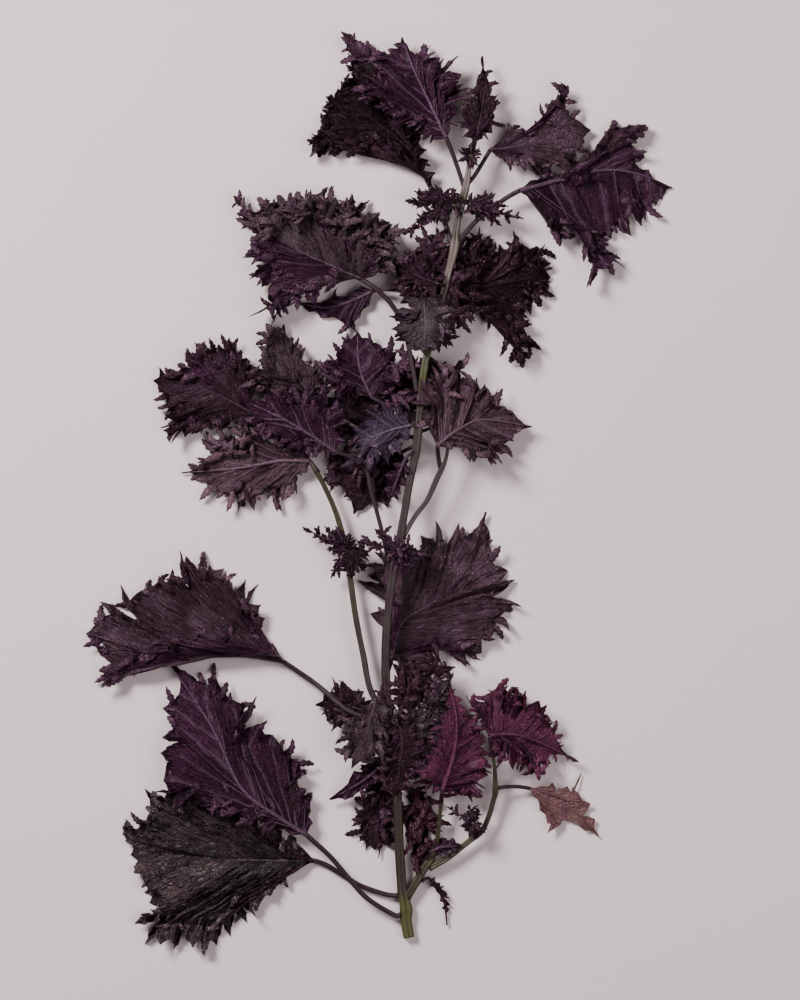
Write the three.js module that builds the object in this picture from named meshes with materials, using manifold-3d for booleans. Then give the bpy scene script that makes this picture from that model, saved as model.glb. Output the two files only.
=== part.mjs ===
// Cut sprig of red shiso (frilled purple perilla), lying on a flat surface.
// Millimetres, +Z up, the stem runs along +Y with its cut end at the low end of Y.
import * as THREE from 'three';
import { mergeVertices } from 'three/addons/utils/BufferGeometryUtils.js';
import { ConvexGeometry } from 'three/addons/geometries/ConvexGeometry.js';
import Module from 'manifold-3d';

const wasm = await Module();
wasm.setup();

// Driving dimensions, in millimetres unless said otherwise
// Outlines are plotted on half-millimetre paper, in squares from its upper left corner.
const GRID = 0.5;
const SHEET_X = 379.5;
const SHEET_Y = 495.7;
const BLADE = 0.68;
const GAP = 0.35;

// Margin: distance between teeth, depth of the cuts between them as a part of that distance, and how the cuts
// shrink near the base, near the rib, in a hollow of the outline and between lobes sharper than SHARP radians
const TOOTH_PITCH = 8.5;
const TOOTH_CUT = 0.72;
const DEEPEST_CUT = 6;
const SMOOTH_BASE = 0.14;
const CUT_TO_RIB = 0.45;
const LEAN_TO_RIB = 0.15;
const HOLLOW_CUT = 0.3;
const LEAST_CUT = 0.05;
const SHARP = 0.7;
const BLUNT = 1.9;

// Waves of the margin: each tooth's own, the slow one over several teeth, and the calm ends of the blade
const TOOTH_WAVE = 0.25;
const TOOTH_WAVE_SPREAD = 0.6;
const SLOW_WAVE = 0.8;
const SLOW_WAVE_TEETH = 8.6;
const SLOW_WAVE_SHIFT = 2.1;
const CALM_BASE = 0.12;
const CALM_APEX = 0.08;

// Rib and side veins: depth of the rib under the blade, sweep of the veins towards the apex
const RIB_DEPTH = 0.9;
const RIB_TAPER = 0.8;
const RIB_PLACES = 60;
const VEIN_SWEEP = 1.25;
const PROJECTED = 0.55;
const LAST_VEIN = 0.985;
const POINTS_PER_RIB_STEP = 7;
const MIDDLE_ROW = 0.55;
const UPRIGHT = 0.6;

// Leaf stalks: how far they run on under the blade, and their radius from the length of the rib
const STALK_SINK = 4;
const STALK_THINNEST = 0.5;
const STALK_GROWTH = 0.013;
const STALK_THICKEST = 1.35;
const STALK_SIDES = 5;
const STALK_STEPS = 1.3;

// Stems: sides and the depth of their grooves as a part of the radius
const STEM_SIDES = 8;
const STEM_GROOVE = 0.14;
const STEM_STEPS = 34;
const SIDE_STEM_SIDES = 6;
const SIDE_STEM_GROOVE = 0.1;
const SIDE_STEM_STEPS = 1.4;

// Young leaves in the tufts: fold of the sides over the middle
const TUFT_FOLD = 1.6;
const TUFT_ARCH = 1;

// Laying one leaf on another: size of the height map, how steeply a lifted leaf falls back
const LIFT_SLOPE = 0.55;
const CELL = 1;
const REACH = 0.8;
const MAP_WIDTH = 420;
const MAP_LENGTH = 500;
const LEAVES_UNDER_STEM = 16;

// Colours of the living parts
const COLOURS = {
  leaf_upper: new THREE.MeshStandardMaterial({ color: 0x2a1c26, roughness: 0.45, metalness: 0 }),
  leaf_under: new THREE.MeshStandardMaterial({ color: 0x4a2745, roughness: 0.55, metalness: 0 }),
  leaf_aged: new THREE.MeshStandardMaterial({ color: 0x6b4238, roughness: 0.6, metalness: 0 }),
  stem: new THREE.MeshStandardMaterial({ color: 0x5b5540, roughness: 0.5, metalness: 0 }),
  side_stem: new THREE.MeshStandardMaterial({ color: 0x6f6a48, roughness: 0.5, metalness: 0 }),
};

// Stems: grid x, grid y, height of the centre in mm, radius in mm
const MAIN_STEM = [
  [409, 937, 2.2, 3.1], [406, 920, 2.2, 3.2], [406, 908, 2.4, 3.5], [402, 887, 3.4, 2.8], [399, 841, 7, 2.7],
  [397, 792, 11, 2.6], [391, 735, 14, 2.5], [386, 679, 16, 2.3], [386, 640, 17, 2.4], [389, 605, 17, 2.4],
  [393, 572, 17, 2.5], [399, 545, 17, 2.4], [404, 515, 17, 2.2], [410, 480, 17, 2.2], [416, 450, 17, 2.3],
  [420, 410, 17, 2.1], [424, 370, 17, 2.1], [431, 340, 16, 2], [441, 300, 15, 2], [449, 270, 15, 2],
  [454, 249, 15, 2.4], [457, 225, 14, 1.8], [462, 203, 14, 2.2], [466, 186, 14, 1.9], [469, 166, 14, 1.4],
  [471, 148, 13.5, 1],
];
const SIDE_STEMS = {
  side_stem_left: [
    [388, 716, 15, 1.7], [371, 690, 12, 1.7], [363.5, 655, 10, 1.7], [356, 617, 9, 1.7], [349.5, 573, 8, 1.7],
    [344, 543, 8, 1.9], [337, 515, 9, 1.5], [324, 485, 10, 1.4], [313, 466, 12, 1.2],
  ],
  side_stem_right: [
    [397, 549, 17, 1.5], [413, 519, 17, 1.4], [427, 500, 16, 1.4], [437, 478, 16, 1.6], [445, 461, 17, 1.1],
    [448, 446, 18, 0.9],
  ],
  side_stem_lower: [
    [407, 897, 3.6, 2.2], [421, 873, 4.6, 2.2], [433, 853, 5.4, 2], [438, 832, 8, 1.2], [441, 800, 11, 1.1],
    [443, 790, 12, 1],
  ],
  side_stem_lower_right: [
    [429, 868, 4.8, 1.7], [449, 856, 5.4, 1.6], [468, 841, 6, 1.6], [481, 831, 6, 1.5], [488, 817, 7, 1.5],
    [493, 800, 8, 1.4], [495, 789, 9, 1.5], [494, 765, 12, 1], [490, 742, 14, 0.9],
  ],
};

// Leaves from the lowest to the uppermost as they lie. rib runs from the base to the apex; left and right
// are the tips of the margin from base to apex, seen from above, with a height in mm where a fold lifts them.
// heights: base, middle and apex of the rib above the surface. cup lifts the margins, ruffle waves them.
const LEAVES = [
  {
    name: 'leaf_behind_stem_low', colour: 'leaf_upper', heights: [4, 3, 1], cup: 0, ruffle: 1.2,
    rib: [[392, 768], [381, 800], [374, 850]],
    left: [[401, 790], [403, 815], [401, 838], [393, 852], [380, 856]],
    right: [[375, 768], [361, 782], [358, 800], [358, 818], [357, 832], [352, 843], [364, 848]],
    stalk: [[396, 752, 10.5], [394, 760, 6.5]],
  },
  {
    name: 'leaf_dark_red_low', colour: 'leaf_under', heights: [4, 3, 1], cup: 0, ruffle: 1,
    rib: [[412, 788], [418, 822], [420, 866]],
    left: [[428, 788], [437, 800], [434, 818], [429, 836], [429, 854]],
    right: [[405, 798], [404, 818], [406, 838], [411, 854]],
    stalk: [[401, 775, 11], [408, 782, 6]],
  },

  {
    name: 'leaf_right_of_stem', colour: 'leaf_upper', heights: [8, 4, 3], cup: 0.5, ruffle: 2,
    rib: [[391, 660], [401, 624], [427, 606], [450, 590], [470, 565], [486, 512]],
    left: [[383, 640], [371, 614], [362, 586], [367, 566], [378, 547], [394, 556], [409, 541], [422, 530],
      [436, 523], [454, 526], [468, 538]],
    right: [[418, 661], [438, 669], [463, 665], [479, 660], [484, 651], [495, 635], [514, 627], [509, 609],
      [515, 602], [514, 586], [507, 568], [492, 556]],
    stalk: [[386, 672, 15], [389, 667, 10]],
  },
  {
    name: 'leaf_lower_left_large', colour: 'leaf_upper', heights: [2.7, 2.4, 0.8], cup: 2.5, ruffle: 2.4,
    rib: [[313, 860], [270, 860], [225, 859], [180, 855], [131, 854]],
    left: [[304, 865], [294, 872], [284, 887], [270, 896], [259, 904], [254, 915], [246, 926], [234, 939],
      [218, 946], [206, 951], [184, 952], [171, 951], [148, 939], [136, 919], [146, 888], [132, 872]],
    right: [[304, 850], [295, 830], [272, 815], [245, 802], [215, 792], [190, 785], [168, 781], [144, 789],
      [150, 812], [114, 828]],
    stalk: [[398, 895, 3], [386, 894, 2.6], [360, 885, 2.2], [342, 874, 2], [325, 864, 2]],
  },
  {
    name: 'leaf_funnel_top', colour: 'leaf_upper', heights: [6, 4, 0.8], cup: 3, ruffle: 2.4,
    rib: [[430, 187], [410, 152], [380, 125], [350, 108], [326, 97]],
    left: [[421, 177], [410, 168], [397, 158], [381, 148], [362, 151], [339, 155], [327, 160], [306, 159],
      [301, 142], [310, 134], [321, 128], [320, 108]],
    right: [[434, 172], [432, 146], [424, 122], [412, 100], [392, 84], [372, 76], [354, 52], [345, 84],
      [331, 93]],
    stalk: [[452, 248, 13], [443, 218, 10], [436, 198, 8]],
  },
  {
    name: 'leaf_small_below_curly', colour: 'leaf_under', heights: [6, 3, 2], cup: 0, ruffle: 0.9,
    rib: [[372, 292], [350, 302], [325, 308], [298, 303]],
    left: [[369, 306], [362, 320], [358, 336], [346, 331], [340, 321], [322, 320], [309, 312]],
    right: [[362, 286], [352, 292], [340, 298], [335, 286], [329, 301], [312, 303]],
    stalk: [[430, 300, 13], [405, 293, 10], [385, 290, 7]],
  },
  {
    name: 'leaf_behind_stem_top', colour: 'leaf_upper', heights: [8, 5, 3], cup: 0, ruffle: 1.8,
    rib: [[440, 300], [424, 276], [402, 256]],
    left: [[428, 310], [412, 314], [394, 304], [385, 288], [384, 270], [390, 257]],
    right: [[442, 286], [450, 264], [446, 250], [434, 240], [417, 242]],
    stalk: [[438, 311, 13]],
  },

  {
    name: 'leaf_upper_right_dark', colour: 'leaf_upper', heights: [8, 5, 2], cup: 0.5, ruffle: 2.2,
    rib: [[452, 296], [480, 288], [515, 281], [550, 277]],
    left: [[455, 276], [460, 258], [470, 232], [480, 225], [491, 238], [501, 252], [521, 232], [534, 246],
      [547, 244], [543, 262]],
    right: [[457, 318], [477, 314], [488, 322], [501, 332], [515, 343], [520, 363], [527, 344], [536, 350],
      [523, 322], [541, 308], [552, 291]],
    stalk: [[446, 288, 13.5], [449, 293, 11]],
  },
  {
    name: 'leaf_dark_centre', colour: 'leaf_upper', heights: [8, 4, 2], cup: 0, ruffle: 1.6,
    rib: [[402, 452], [385, 474], [368, 494], [354, 514]],
    left: [[410, 462], [410, 480], [404, 498], [390, 506], [376, 505], [364, 510]],
    right: [[385, 446], [365, 450], [345, 456], [327, 462], [322, 474], [333, 486], [345, 495], [353, 503]],
    stalk: [[413, 447, 15.5]],
  },
  {
    name: 'leaf_hollow_dark', colour: 'leaf_upper', heights: [8, 5, 3], cup: 0, ruffle: 1.4,
    rib: [[404, 436], [378, 424], [350, 412], [322, 403]],
    left: [[394, 446], [372, 444], [348, 436], [326, 424]],
    right: [[400, 410], [384, 396], [362, 388], [336, 386]],
    stalk: [[415, 438, 15]],
  },
  {
    name: 'leaf_dark_frilly', colour: 'leaf_upper', heights: [7, 5, 3], cup: 0, ruffle: 2,
    rib: [[432, 428], [430, 402], [436, 378], [446, 362]],
    left: [[412, 424], [396, 414], [380, 397], [385, 374], [402, 366], [418, 362], [432, 356]],
    right: [[448, 424], [460, 410], [458, 392], [466, 380], [460, 366]],
    stalk: [[421, 432, 15]],
  },
  {
    name: 'leaf_middle_left_low', colour: 'leaf_upper', heights: [8, 4, 2], cup: 0.5, ruffle: 2.2,
    rib: [[310, 461], [280, 461], [240, 468], [182, 473]],
    left: [[306, 474], [298, 491], [284, 487], [277, 508], [262, 490], [251, 506], [236, 509], [221, 493],
      [206, 483]],
    right: [[304, 448], [285, 440], [262, 434], [242, 428], [217, 431], [213, 445], [211, 459]],
    stalk: [[318, 472, 12]],
  },
  {
    name: 'leaf_middle_left_frilly', colour: 'leaf_upper', heights: [7, 5, 3], cup: 1, ruffle: 2.6,
    rib: [[254, 414], [225, 398], [190, 384], [154, 381]],
    left: [[240, 424], [224, 431], [214, 429], [198, 433], [178, 442], [163, 431], [164, 411], [166, 404],
      [157, 393]],
    right: [[263, 400], [266, 382], [260, 366], [245, 352], [231, 337], [210, 347], [190, 345], [182, 366],
      [161, 367]],
    stalk: [[300, 440, 12], [275, 425, 9]],
  },
  {
    name: 'leaf_middle_left_grey', colour: 'leaf_upper', heights: [10, 8, 4], cup: 1, ruffle: 2.2,
    rib: [[322, 405], [303, 385], [290, 358], [284, 325]],
    left: [[304, 410], [282, 408], [262, 398], [250, 384], [248, 366], [270, 350], [262, 334]],
    right: [[332, 394], [335, 380], [324, 366], [308, 362], [303, 346]],
    stalk: [[360, 430, 14], [340, 418, 12]],
  },
  {
    name: 'leaf_middle_left_veined', colour: 'leaf_under', heights: [12, 9, 5], cup: 0, ruffle: 1.6,
    rib: [[336, 452], [315, 438], [285, 420], [247, 402]],
    left: [[328, 460], [312, 460], [292, 456], [272, 449], [254, 438], [242, 424]],
    right: [[346, 438], [352, 420], [344, 403], [328, 392], [308, 386], [288, 384], [266, 388]],
    stalk: [[389, 562, 16], [381, 527, 15], [371, 490, 14.5], [366, 470, 14], [352, 458, 13]],
  },
  {
    name: 'leaf_middle_fan', colour: 'leaf_under', heights: [11, 10, 6], cup: 0.5, ruffle: 1.8,
    rib: [[372, 398], [362, 376], [358, 355], [358, 333]],
    left: [[346, 400], [325, 392], [312, 376], [319, 356], [342, 343]],
    right: [[392, 394], [408, 380], [412, 364], [398, 354], [384, 346], [371, 337]],
    stalk: [[416, 425, 16], [394, 410, 13]],
  },
  {
    name: 'leaf_middle_blue', colour: 'leaf_under', heights: [19, 17, 13], cup: 0, ruffle: 1.6,
    rib: [[411, 426], [393, 430], [376, 436], [356, 442]],
    left: [[410, 440], [402, 456], [390, 466], [374, 470], [350, 470], [359, 455]],
    right: [[410, 412], [400, 402], [386, 402], [371, 408], [363, 419], [353, 430]],
    stalk: [[417, 428, 19]],
  },
  {
    name: 'leaf_centre_narrow', colour: 'leaf_under', heights: [20, 18, 13], cup: 0, ruffle: 1.2,
    rib: [[406, 458], [400, 472], [394, 488], [388, 504]],
    left: [[411, 470], [408, 484], [400, 496]],
    right: [[394, 462], [386, 475], [384, 490]],
    stalk: [[414, 452, 18.5]],
  },
  {
    name: 'leaf_middle_right', colour: 'leaf_under', heights: [19, 13, 8], cup: 0.5, ruffle: 2.2,
    rib: [[437, 446], [458, 430], [484, 420], [531, 427]],
    left: [[430, 432], [418, 418], [408, 402], [408, 384], [420, 374], [432, 366], [446, 374], [459, 356],
      [469, 380], [479, 376], [498, 388], [502, 394], [513, 411]],
    right: [[450, 452], [470, 456], [478, 462], [496, 470], [507, 467], [514, 456], [513, 440]],
    stalk: [[440, 468, 16], [438, 456, 18]],
  },
  {
    name: 'leaf_top_right_curled', colour: 'leaf_upper', heights: [10, 7, 4], cup: 0.5, ruffle: 1.8,
    rib: [[490, 151], [512, 148], [540, 142], [566, 128], [590, 131]],
    left: [[498, 143], [504, 139], [510, 122], [523, 130], [538, 127], [541, 111], [554, 99], [565, 80],
      [568, 106], [579, 122]],
    right: [[497, 158], [506, 168], [520, 178], [538, 181], [548, 173], [564, 171], [577, 167], [582, 148]],
    stalk: [[467, 186, 14], [475, 176, 12]],
  },
  {
    name: 'leaf_top_right_long', colour: 'leaf_under', heights: [9, 6, 0.8], cup: 0.5, ruffle: 1.8,
    rib: [[519, 192], [560, 181], [604, 171], [640, 175], [672, 188]],
    left: [[530, 182], [545, 178], [559, 173], [584, 152], [598, 141], [614, 134], [626, 124], [645, 126],
      [634, 146], [644, 152], [632, 166], [650, 171]],
    right: [[530, 199], [541, 205], [549, 222], [555, 246], [561, 231], [573, 234], [588, 232], [589, 284],
      [604, 272], [623, 269], [610, 238], [629, 234], [649, 222], [651, 204], [663, 198]],
    stalk: [[456, 247, 15], [474, 224, 12], [493, 209, 10], [506, 199, 9]],
  },
  {
    name: 'leaf_top_fan', colour: 'leaf_under', heights: [14, 14, 8], cup: 0, ruffle: 2.4,
    rib: [[446, 140], [430, 106], [414, 72], [402, 39]],
    left: [[430, 148], [412, 140], [396, 128], [378, 112], [356, 100], [362, 82], [372, 68], [338, 39],
      [378, 57], [393, 44]],
    right: [[458, 128], [466, 106], [467, 84], [457, 64], [448, 56], [430, 49], [416, 56]],
    stalk: [[464, 190, 14], [454, 160, 14]],
  },
  {
    name: 'leaf_top_upright', colour: 'leaf_upper', heights: [14, 13, 9], cup: 0.5, ruffle: 1.2,
    rib: [[474, 147], [480, 120], [484, 92], [482, 58]],
    left: [[463, 138], [456, 124], [464, 108], [468, 92], [476, 80]],
    right: [[490, 142], [502, 129], [495, 112], [500, 98], [489, 84]],
    stalk: [[471, 160, 14]],
  },
  {
    name: 'leaf_upper_left_curly', colour: 'leaf_upper', heights: [12, 9, 5], cup: 1.5, ruffle: 3,
    rib: [[361, 280], [330, 266], [296, 250], [262, 228], [234, 197]],
    left: [[351, 279], [342, 277], [328, 284], [313, 294], [298, 303], [285, 319], [266, 330], [250, 317],
      [264, 300], [250, 280], [243, 258], [256, 244], [243, 222]],
    right: [[374, 276], [390, 272], [407, 265], [398, 250], [405, 236], [394, 228], [383, 210], [372, 197],
      [352, 193], [327, 188], [318, 202], [308, 194], [297, 196], [277, 203], [265, 198], [256, 214]],
    stalk: [[417, 393, 17], [410, 355, 15.5], [403, 326, 14.5], [391, 305, 13.5], [376, 290, 12.5]],
  },

  {
    name: 'leaf_upper_front', colour: 'leaf_upper', heights: [21, 20, 13], cup: -1, ruffle: 1.8,
    rib: [[423, 295], [425, 318], [425, 338], [424, 356]],
    left: [[440, 296], [454, 306], [461, 320], [455, 336], [440, 350]],
    right: [[406, 297], [392, 305], [385, 318], [389, 335], [397, 348], [408, 352]],
    stalk: [[441, 298, 17.2], [432, 296, 19.5]],
  },
  {
    name: 'leaf_upper_collar', colour: 'leaf_upper', heights: [19.5, 18, 14], cup: 0, ruffle: 2,
    rib: [[439, 286], [428, 282], [414, 276], [401, 262]],
    left: [[435, 300], [423, 305], [409, 301], [399, 287]],
    right: [[445, 275], [438, 264], [424, 254], [410, 251]],
    stalk: [[444, 287, 17]],
  },  {
    name: 'leaf_lower_left_purple', colour: 'leaf_under', heights: [9, 9, 4], cup: -0.5, ruffle: 2,
    rib: [[306, 833], [279, 816], [242, 787], [216, 733], [190, 692], [169, 662]],
    left: [[292, 834], [270, 828], [246, 822], [222, 816], [196, 812], [170, 808], [150, 797], [163, 776],
      [156, 752], [157, 733], [178, 720], [160, 713], [182, 693]],
    right: [[313, 821], [308, 796], [312, 785], [310, 766], [299, 758], [294, 745], [276, 737], [270, 718],
      [257, 700], [242, 693], [232, 700], [221, 665], [206, 684], [192, 676]],
    stalk: [[400, 914, 4.5], [394, 914, 5], [367, 897, 7], [348, 876, 8], [330, 855, 8]],
  },
  {
    name: 'leaf_low_frilly', colour: 'leaf_upper', heights: [8, 5, 2.5], cup: 0.5, ruffle: 1.4,
    rib: [[374, 712], [352, 706], [334, 700], [316, 705]],
    left: [[368, 726], [358, 734], [345, 740], [335, 730], [325, 720]],
    right: [[372, 696], [362, 686], [346, 677], [334, 676], [325, 690]],
    stalk: [[387, 733, 12.5]],
  },  {
    name: 'leaf_middle_left_folded', colour: 'leaf_upper', heights: [4, 3, 2], cup: 1.5, ruffle: 2.2,
    rib: [[283, 661], [256, 657], [221, 653], [180, 655], [140, 648], [87, 633]],
    right: [[276, 643], [265, 615], [259, 590], [245, 577], [221, 565], [207, 550], [179, 556], [156, 576],
      [139, 592], [122, 586], [108, 604], [102, 617]],
    left: [[278, 655, 6], [250, 648, 8], [218, 644, 9], [190, 645, 8], [165, 660, 6], [134, 676, 3],
      [106, 690, 2], [104, 674, 3], [106, 652, 3]],
    stalk: [[384, 722, 15], [365, 716, 13], [346, 708, 11], [318, 685, 6], [298, 671, 4.5]],
  },

  {
    name: 'leaf_low_spear', colour: 'leaf_under', heights: [16, 10, 4], cup: 0, ruffle: 1.2,
    rib: [[384, 762], [368, 776], [350, 788], [330, 799]],
    left: [[388, 772], [378, 781], [362, 788], [346, 799]],
    right: [[376, 754], [363, 762], [353, 772], [343, 789]],
    stalk: [[392, 752, 15]],
  },

  {
    name: 'leaf_low_brown', colour: 'leaf_upper', heights: [18.5, 16, 9], cup: 0, ruffle: 1.8,
    rib: [[400, 708], [410, 694], [428, 680], [455, 666]],
    left: [[388, 702], [386, 685], [392, 670], [399, 660], [412, 664], [424, 660], [438, 664]],
    right: [[412, 712], [420, 706], [434, 698], [444, 684]],
    stalk: [[392, 717, 18]],
  },

  {
    name: 'leaf_low_glossy', colour: 'leaf_upper', heights: [18.5, 16, 8], cup: 0, ruffle: 1.8,
    rib: [[408, 746], [422, 726], [436, 702], [453, 672]],
    left: [[404, 737], [410, 721], [414, 704], [424, 692], [438, 680]],
    right: [[418, 756], [434, 748], [443, 731], [449, 710], [453, 690]],
    stalk: [[396, 752, 18]],
  },

  {
    name: 'leaf_low_dark', colour: 'leaf_upper', heights: [19, 18, 14], cup: -0.5, ruffle: 2,
    rib: [[400, 724], [402, 742], [400, 764], [396, 794]],
    left: [[411, 711], [419, 724], [428, 744], [431, 762], [424, 780], [410, 792]],
    right: [[390, 708], [379, 722], [370, 742], [366, 760], [370, 778], [383, 792]],
    stalk: [[394, 740, 16.2], [399, 736, 19]],
  },  {
    name: 'leaf_low_grey', colour: 'leaf_upper', heights: [19, 16, 9], cup: -0.5, ruffle: 1.8,
    rib: [[376, 698], [371, 716], [364, 740], [352, 766]],
    left: [[392, 704], [400, 722], [396, 742], [386, 762], [370, 764]],
    right: [[362, 702], [352, 716], [347, 734], [340, 754]],
    stalk: [[386, 704, 20]],
  },

  {
    name: 'leaf_mauve', colour: 'leaf_under', heights: [13, 15, 11], cup: 0, ruffle: 1.4,
    rib: [[442, 789], [454, 750], [456, 716], [448, 682]],
    left: [[431, 792], [420, 785], [424, 766], [427, 749], [434, 735], [440, 718], [443, 702]],
    right: [[456, 797], [471, 800], [484, 786], [491, 774], [494, 752], [490, 732], [478, 712], [462, 696]],
    stalk: [[441, 800, 12]],
  },
  {
    name: 'leaf_mauve_frilly', colour: 'leaf_under', heights: [17, 13, 5], cup: 0.5, ruffle: 2.2,
    rib: [[489, 734], [512, 733], [540, 742], [578, 761]],
    left: [[478, 722], [472, 712], [463, 700], [482, 690], [498, 688], [512, 681], [529, 690], [547, 703],
      [548, 716], [555, 729], [557, 742]],
    right: [[489, 752], [497, 766], [516, 773], [541, 778], [538, 766], [556, 755]],
    stalk: [[492, 752, 14]],
  },
  {
    name: 'leaf_aged', colour: 'leaf_aged', heights: [5, 4, 0.7], cup: 0, ruffle: 1.2,
    rib: [[530, 788], [554, 800], [577, 816], [598, 836]],
    left: [[542, 785], [552, 781], [580, 781], [577, 793], [589, 803], [595, 818]],
    right: [[533, 797], [541, 811], [550, 838], [561, 829], [567, 818], [583, 829]],
    stalk: [[495, 788, 9], [504, 786, 8], [518, 786, 6]],
  },
  {
    name: 'leaf_fork_toothed', colour: 'leaf_under', heights: [9, 9, 6], cup: 0, ruffle: 0.8,
    rib: [[431, 850], [440, 846], [451, 845], [461, 844]],
    left: [[434, 840], [443, 834], [453, 836]],
    right: [[439, 856], [448, 855], [455, 850]],
    stalk: [[427, 858, 7]],
  },
  {
    name: 'leaf_fork_spear', colour: 'leaf_upper', heights: [4, 3, 1], cup: 0, ruffle: 0.8,
    rib: [[427, 877], [437, 884], [444, 902], [447, 925]],
    left: [[436, 876], [447, 884], [452, 895], [450, 910]],
    right: [[430, 886], [436, 892], [441, 908]],
    stalk: [[421, 881, 4.2]],
  },
];

// Tufts of young leaves: centre, then blades with their tip on the grid, their half width in squares and the
// height of the tip in mm
const TUFTS = [
  {
    name: 'tuft_top_left', colour: 'leaf_upper', centre: [454, 207, 16], size: 1.6,
    blades: [[453, 190, 5, 19], [428, 191, 7, 16], [414, 193, 5, 15], [405, 203, 5, 13], [398, 236, 3, 10],
      [414, 225, 7, 12], [432, 222, 6, 15]],
  },
  {
    name: 'tuft_top_right', colour: 'leaf_upper', centre: [470, 206, 15.6], size: 1.6,
    blades: [[495, 196, 5, 17], [508, 208, 3, 15], [523, 220, 3, 11], [501, 227, 4, 10], [484, 222, 5, 12]],
  },
  {
    name: 'tuft_left', colour: 'leaf_upper', centre: [348, 550, 11], size: 2,
    blades: [[303, 527, 3, 9], [325, 526, 5, 12], [336, 526, 5, 15], [350, 533, 5, 17], [331, 578, 4, 8],
      [327, 549, 5, 10], [352, 578, 7, 11], [370, 556, 9, 12], [366, 571, 6, 10]],
  },
  {
    name: 'tuft_centre', colour: 'leaf_under', centre: [398, 549, 21], size: 1.8,
    blades: [[357, 541, 3, 19], [375, 529, 4, 22], [386, 540, 5, 23], [416, 548, 7, 19], [419, 562, 6, 17],
      [408, 574, 6, 18]],
  },
  {
    name: 'bud_cluster', colour: 'leaf_upper', centre: [473, 822, 13], size: 2.2,
    blades: [[468, 803, 4, 13], [478, 806, 4, 12], [482, 822, 4, 11], [476, 838, 5, 9], [465, 830, 4, 11],
      [462, 817, 3, 12], [482, 832, 3, 7.4], [447, 805, 1.4, 13]],
  },
  {
    name: 'bud_top', colour: 'leaf_upper', centre: [470, 158, 17], size: 1.3,
    blades: [[470, 146, 4, 18], [462, 163, 3, 18], [477, 163, 3, 17]],
  },
];

const fraction = (x) => x - Math.floor(x);
const draw = (i, j) => fraction(Math.sin(i * 12.9898 + j * 78.233) * 43758.5453);
const spot = (p) => new THREE.Vector2((p[0] - SHEET_X) * GRID, (SHEET_Y - p[1]) * GRID);
const mix = (a, b, t) => a + (b - a) * t;

// The height map of what already lies there; an empty cell is the bare surface.
const map = new Float32Array(MAP_WIDTH * MAP_LENGTH).fill(-GAP);

function eachCell(a, b, c, visit) {
  const low = [Math.min(a.x, b.x, c.x) - REACH, Math.min(a.y, b.y, c.y) - REACH];
  const high = [Math.max(a.x, b.x, c.x) + REACH, Math.max(a.y, b.y, c.y) + REACH];
  const lowZ = Math.min(a.z, b.z, c.z);
  const highZ = Math.max(a.z, b.z, c.z);
  const area = (b.x - a.x) * (c.y - a.y) - (c.x - a.x) * (b.y - a.y);
  if (Math.abs(area) < 1e-6) return;
  const turn = Math.sign(area);
  const outside = (p, q, x, y) =>
    (turn * ((q.x - p.x) * (y - p.y) - (q.y - p.y) * (x - p.x))) / Math.hypot(q.x - p.x, q.y - p.y) < -REACH;
  for (let x = Math.ceil(low[0] / CELL); x <= high[0] / CELL; x++) {
    for (let y = Math.ceil(low[1] / CELL); y <= high[1] / CELL; y++) {
      const px = x * CELL;
      const py = y * CELL;
      if (outside(a, b, px, py) || outside(b, c, px, py) || outside(c, a, px, py)) continue;
      const u = ((px - a.x) * (c.y - a.y) - (c.x - a.x) * (py - a.y)) / area;
      const v = ((b.x - a.x) * (py - a.y) - (px - a.x) * (b.y - a.y)) / area;
      const z = THREE.MathUtils.clamp(a.z + u * (b.z - a.z) + v * (c.z - a.z), lowZ, highZ);
      visit((y + MAP_LENGTH / 2) * MAP_WIDTH + x + MAP_WIDTH / 2, z);
    }
  }
}

function occupy(points, faces) {
  for (const [i, j, k] of faces) {
    eachCell(points[i], points[j], points[k], (cell, z) => {
      map[cell] = Math.max(map[cell], z);
    });
  }
}

// Raises the points of a sheet where it would lie in something, as a cloth laid over it would rise.
function settle(points, faces, thick) {
  const need = points.map(() => 0);
  for (const face of faces) {
    eachCell(points[face[0]], points[face[1]], points[face[2]], (cell, z) => {
      const rise = map[cell] + GAP - (z - thick);
      for (const i of face) need[i] = Math.max(need[i], rise);
    });
  }
  const lift = points.map((p) => {
    let most = 0;
    need.forEach((n, i) => {
      if (n > most) most = Math.max(most, n - LIFT_SLOPE * Math.hypot(p.x - points[i].x, p.y - points[i].y));
    });
    return most;
  });
  points.forEach((p, i) => {
    p.z += lift[i];
  });
}

// The rib as a smooth line, with its height above the surface.
function ribLine(leaf) {
  const line = new THREE.SplineCurve(leaf.rib.map(spot));
  const [base, middle, apex] = leaf.heights;
  const height = (u) => (u < 0.5 ? mix(base, middle, u * 2) : mix(middle, apex, u * 2 - 1));
  return (u) => {
    const p = line.getPoint(u);
    return new THREE.Vector3(p.x, p.y, height(u));
  };
}

const turnOf = (a, b, c) => (b.x - a.x) * (c.y - a.y) - (b.y - a.y) * (c.x - a.x);
const cross = (a, b, c, d) => turnOf(a, b, c) * turnOf(a, b, d) < 0 && turnOf(c, d, a) * turnOf(c, d, b) < 0;

// Notches that make the margin cross itself are drawn back towards the line between their tips.
function untangle(leaf, list) {
  const ends = [spot(leaf.rib[0]), spot(leaf.rib[leaf.rib.length - 1])];
  const at = (k) => (k < 0 ? ends[0] : k >= list.length ? ends[1] : list[k].p);
  for (let round = 0; round < 12; round++) {
    const tangled = new Set();
    for (let i = -1; i < list.length; i++) {
      for (let j = i + 2; j < list.length; j++) {
        if (cross(at(i), at(i + 1), at(j), at(j + 1))) [i, i + 1, j, j + 1].forEach((k) => tangled.add(k));
      }
    }
    if (!tangled.size) return;
    for (const k of tangled) {
      if (list[k] && !list[k].tip) list[k].p.lerp(list[k].chord, 1 / 3);
    }
  }
}

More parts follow.
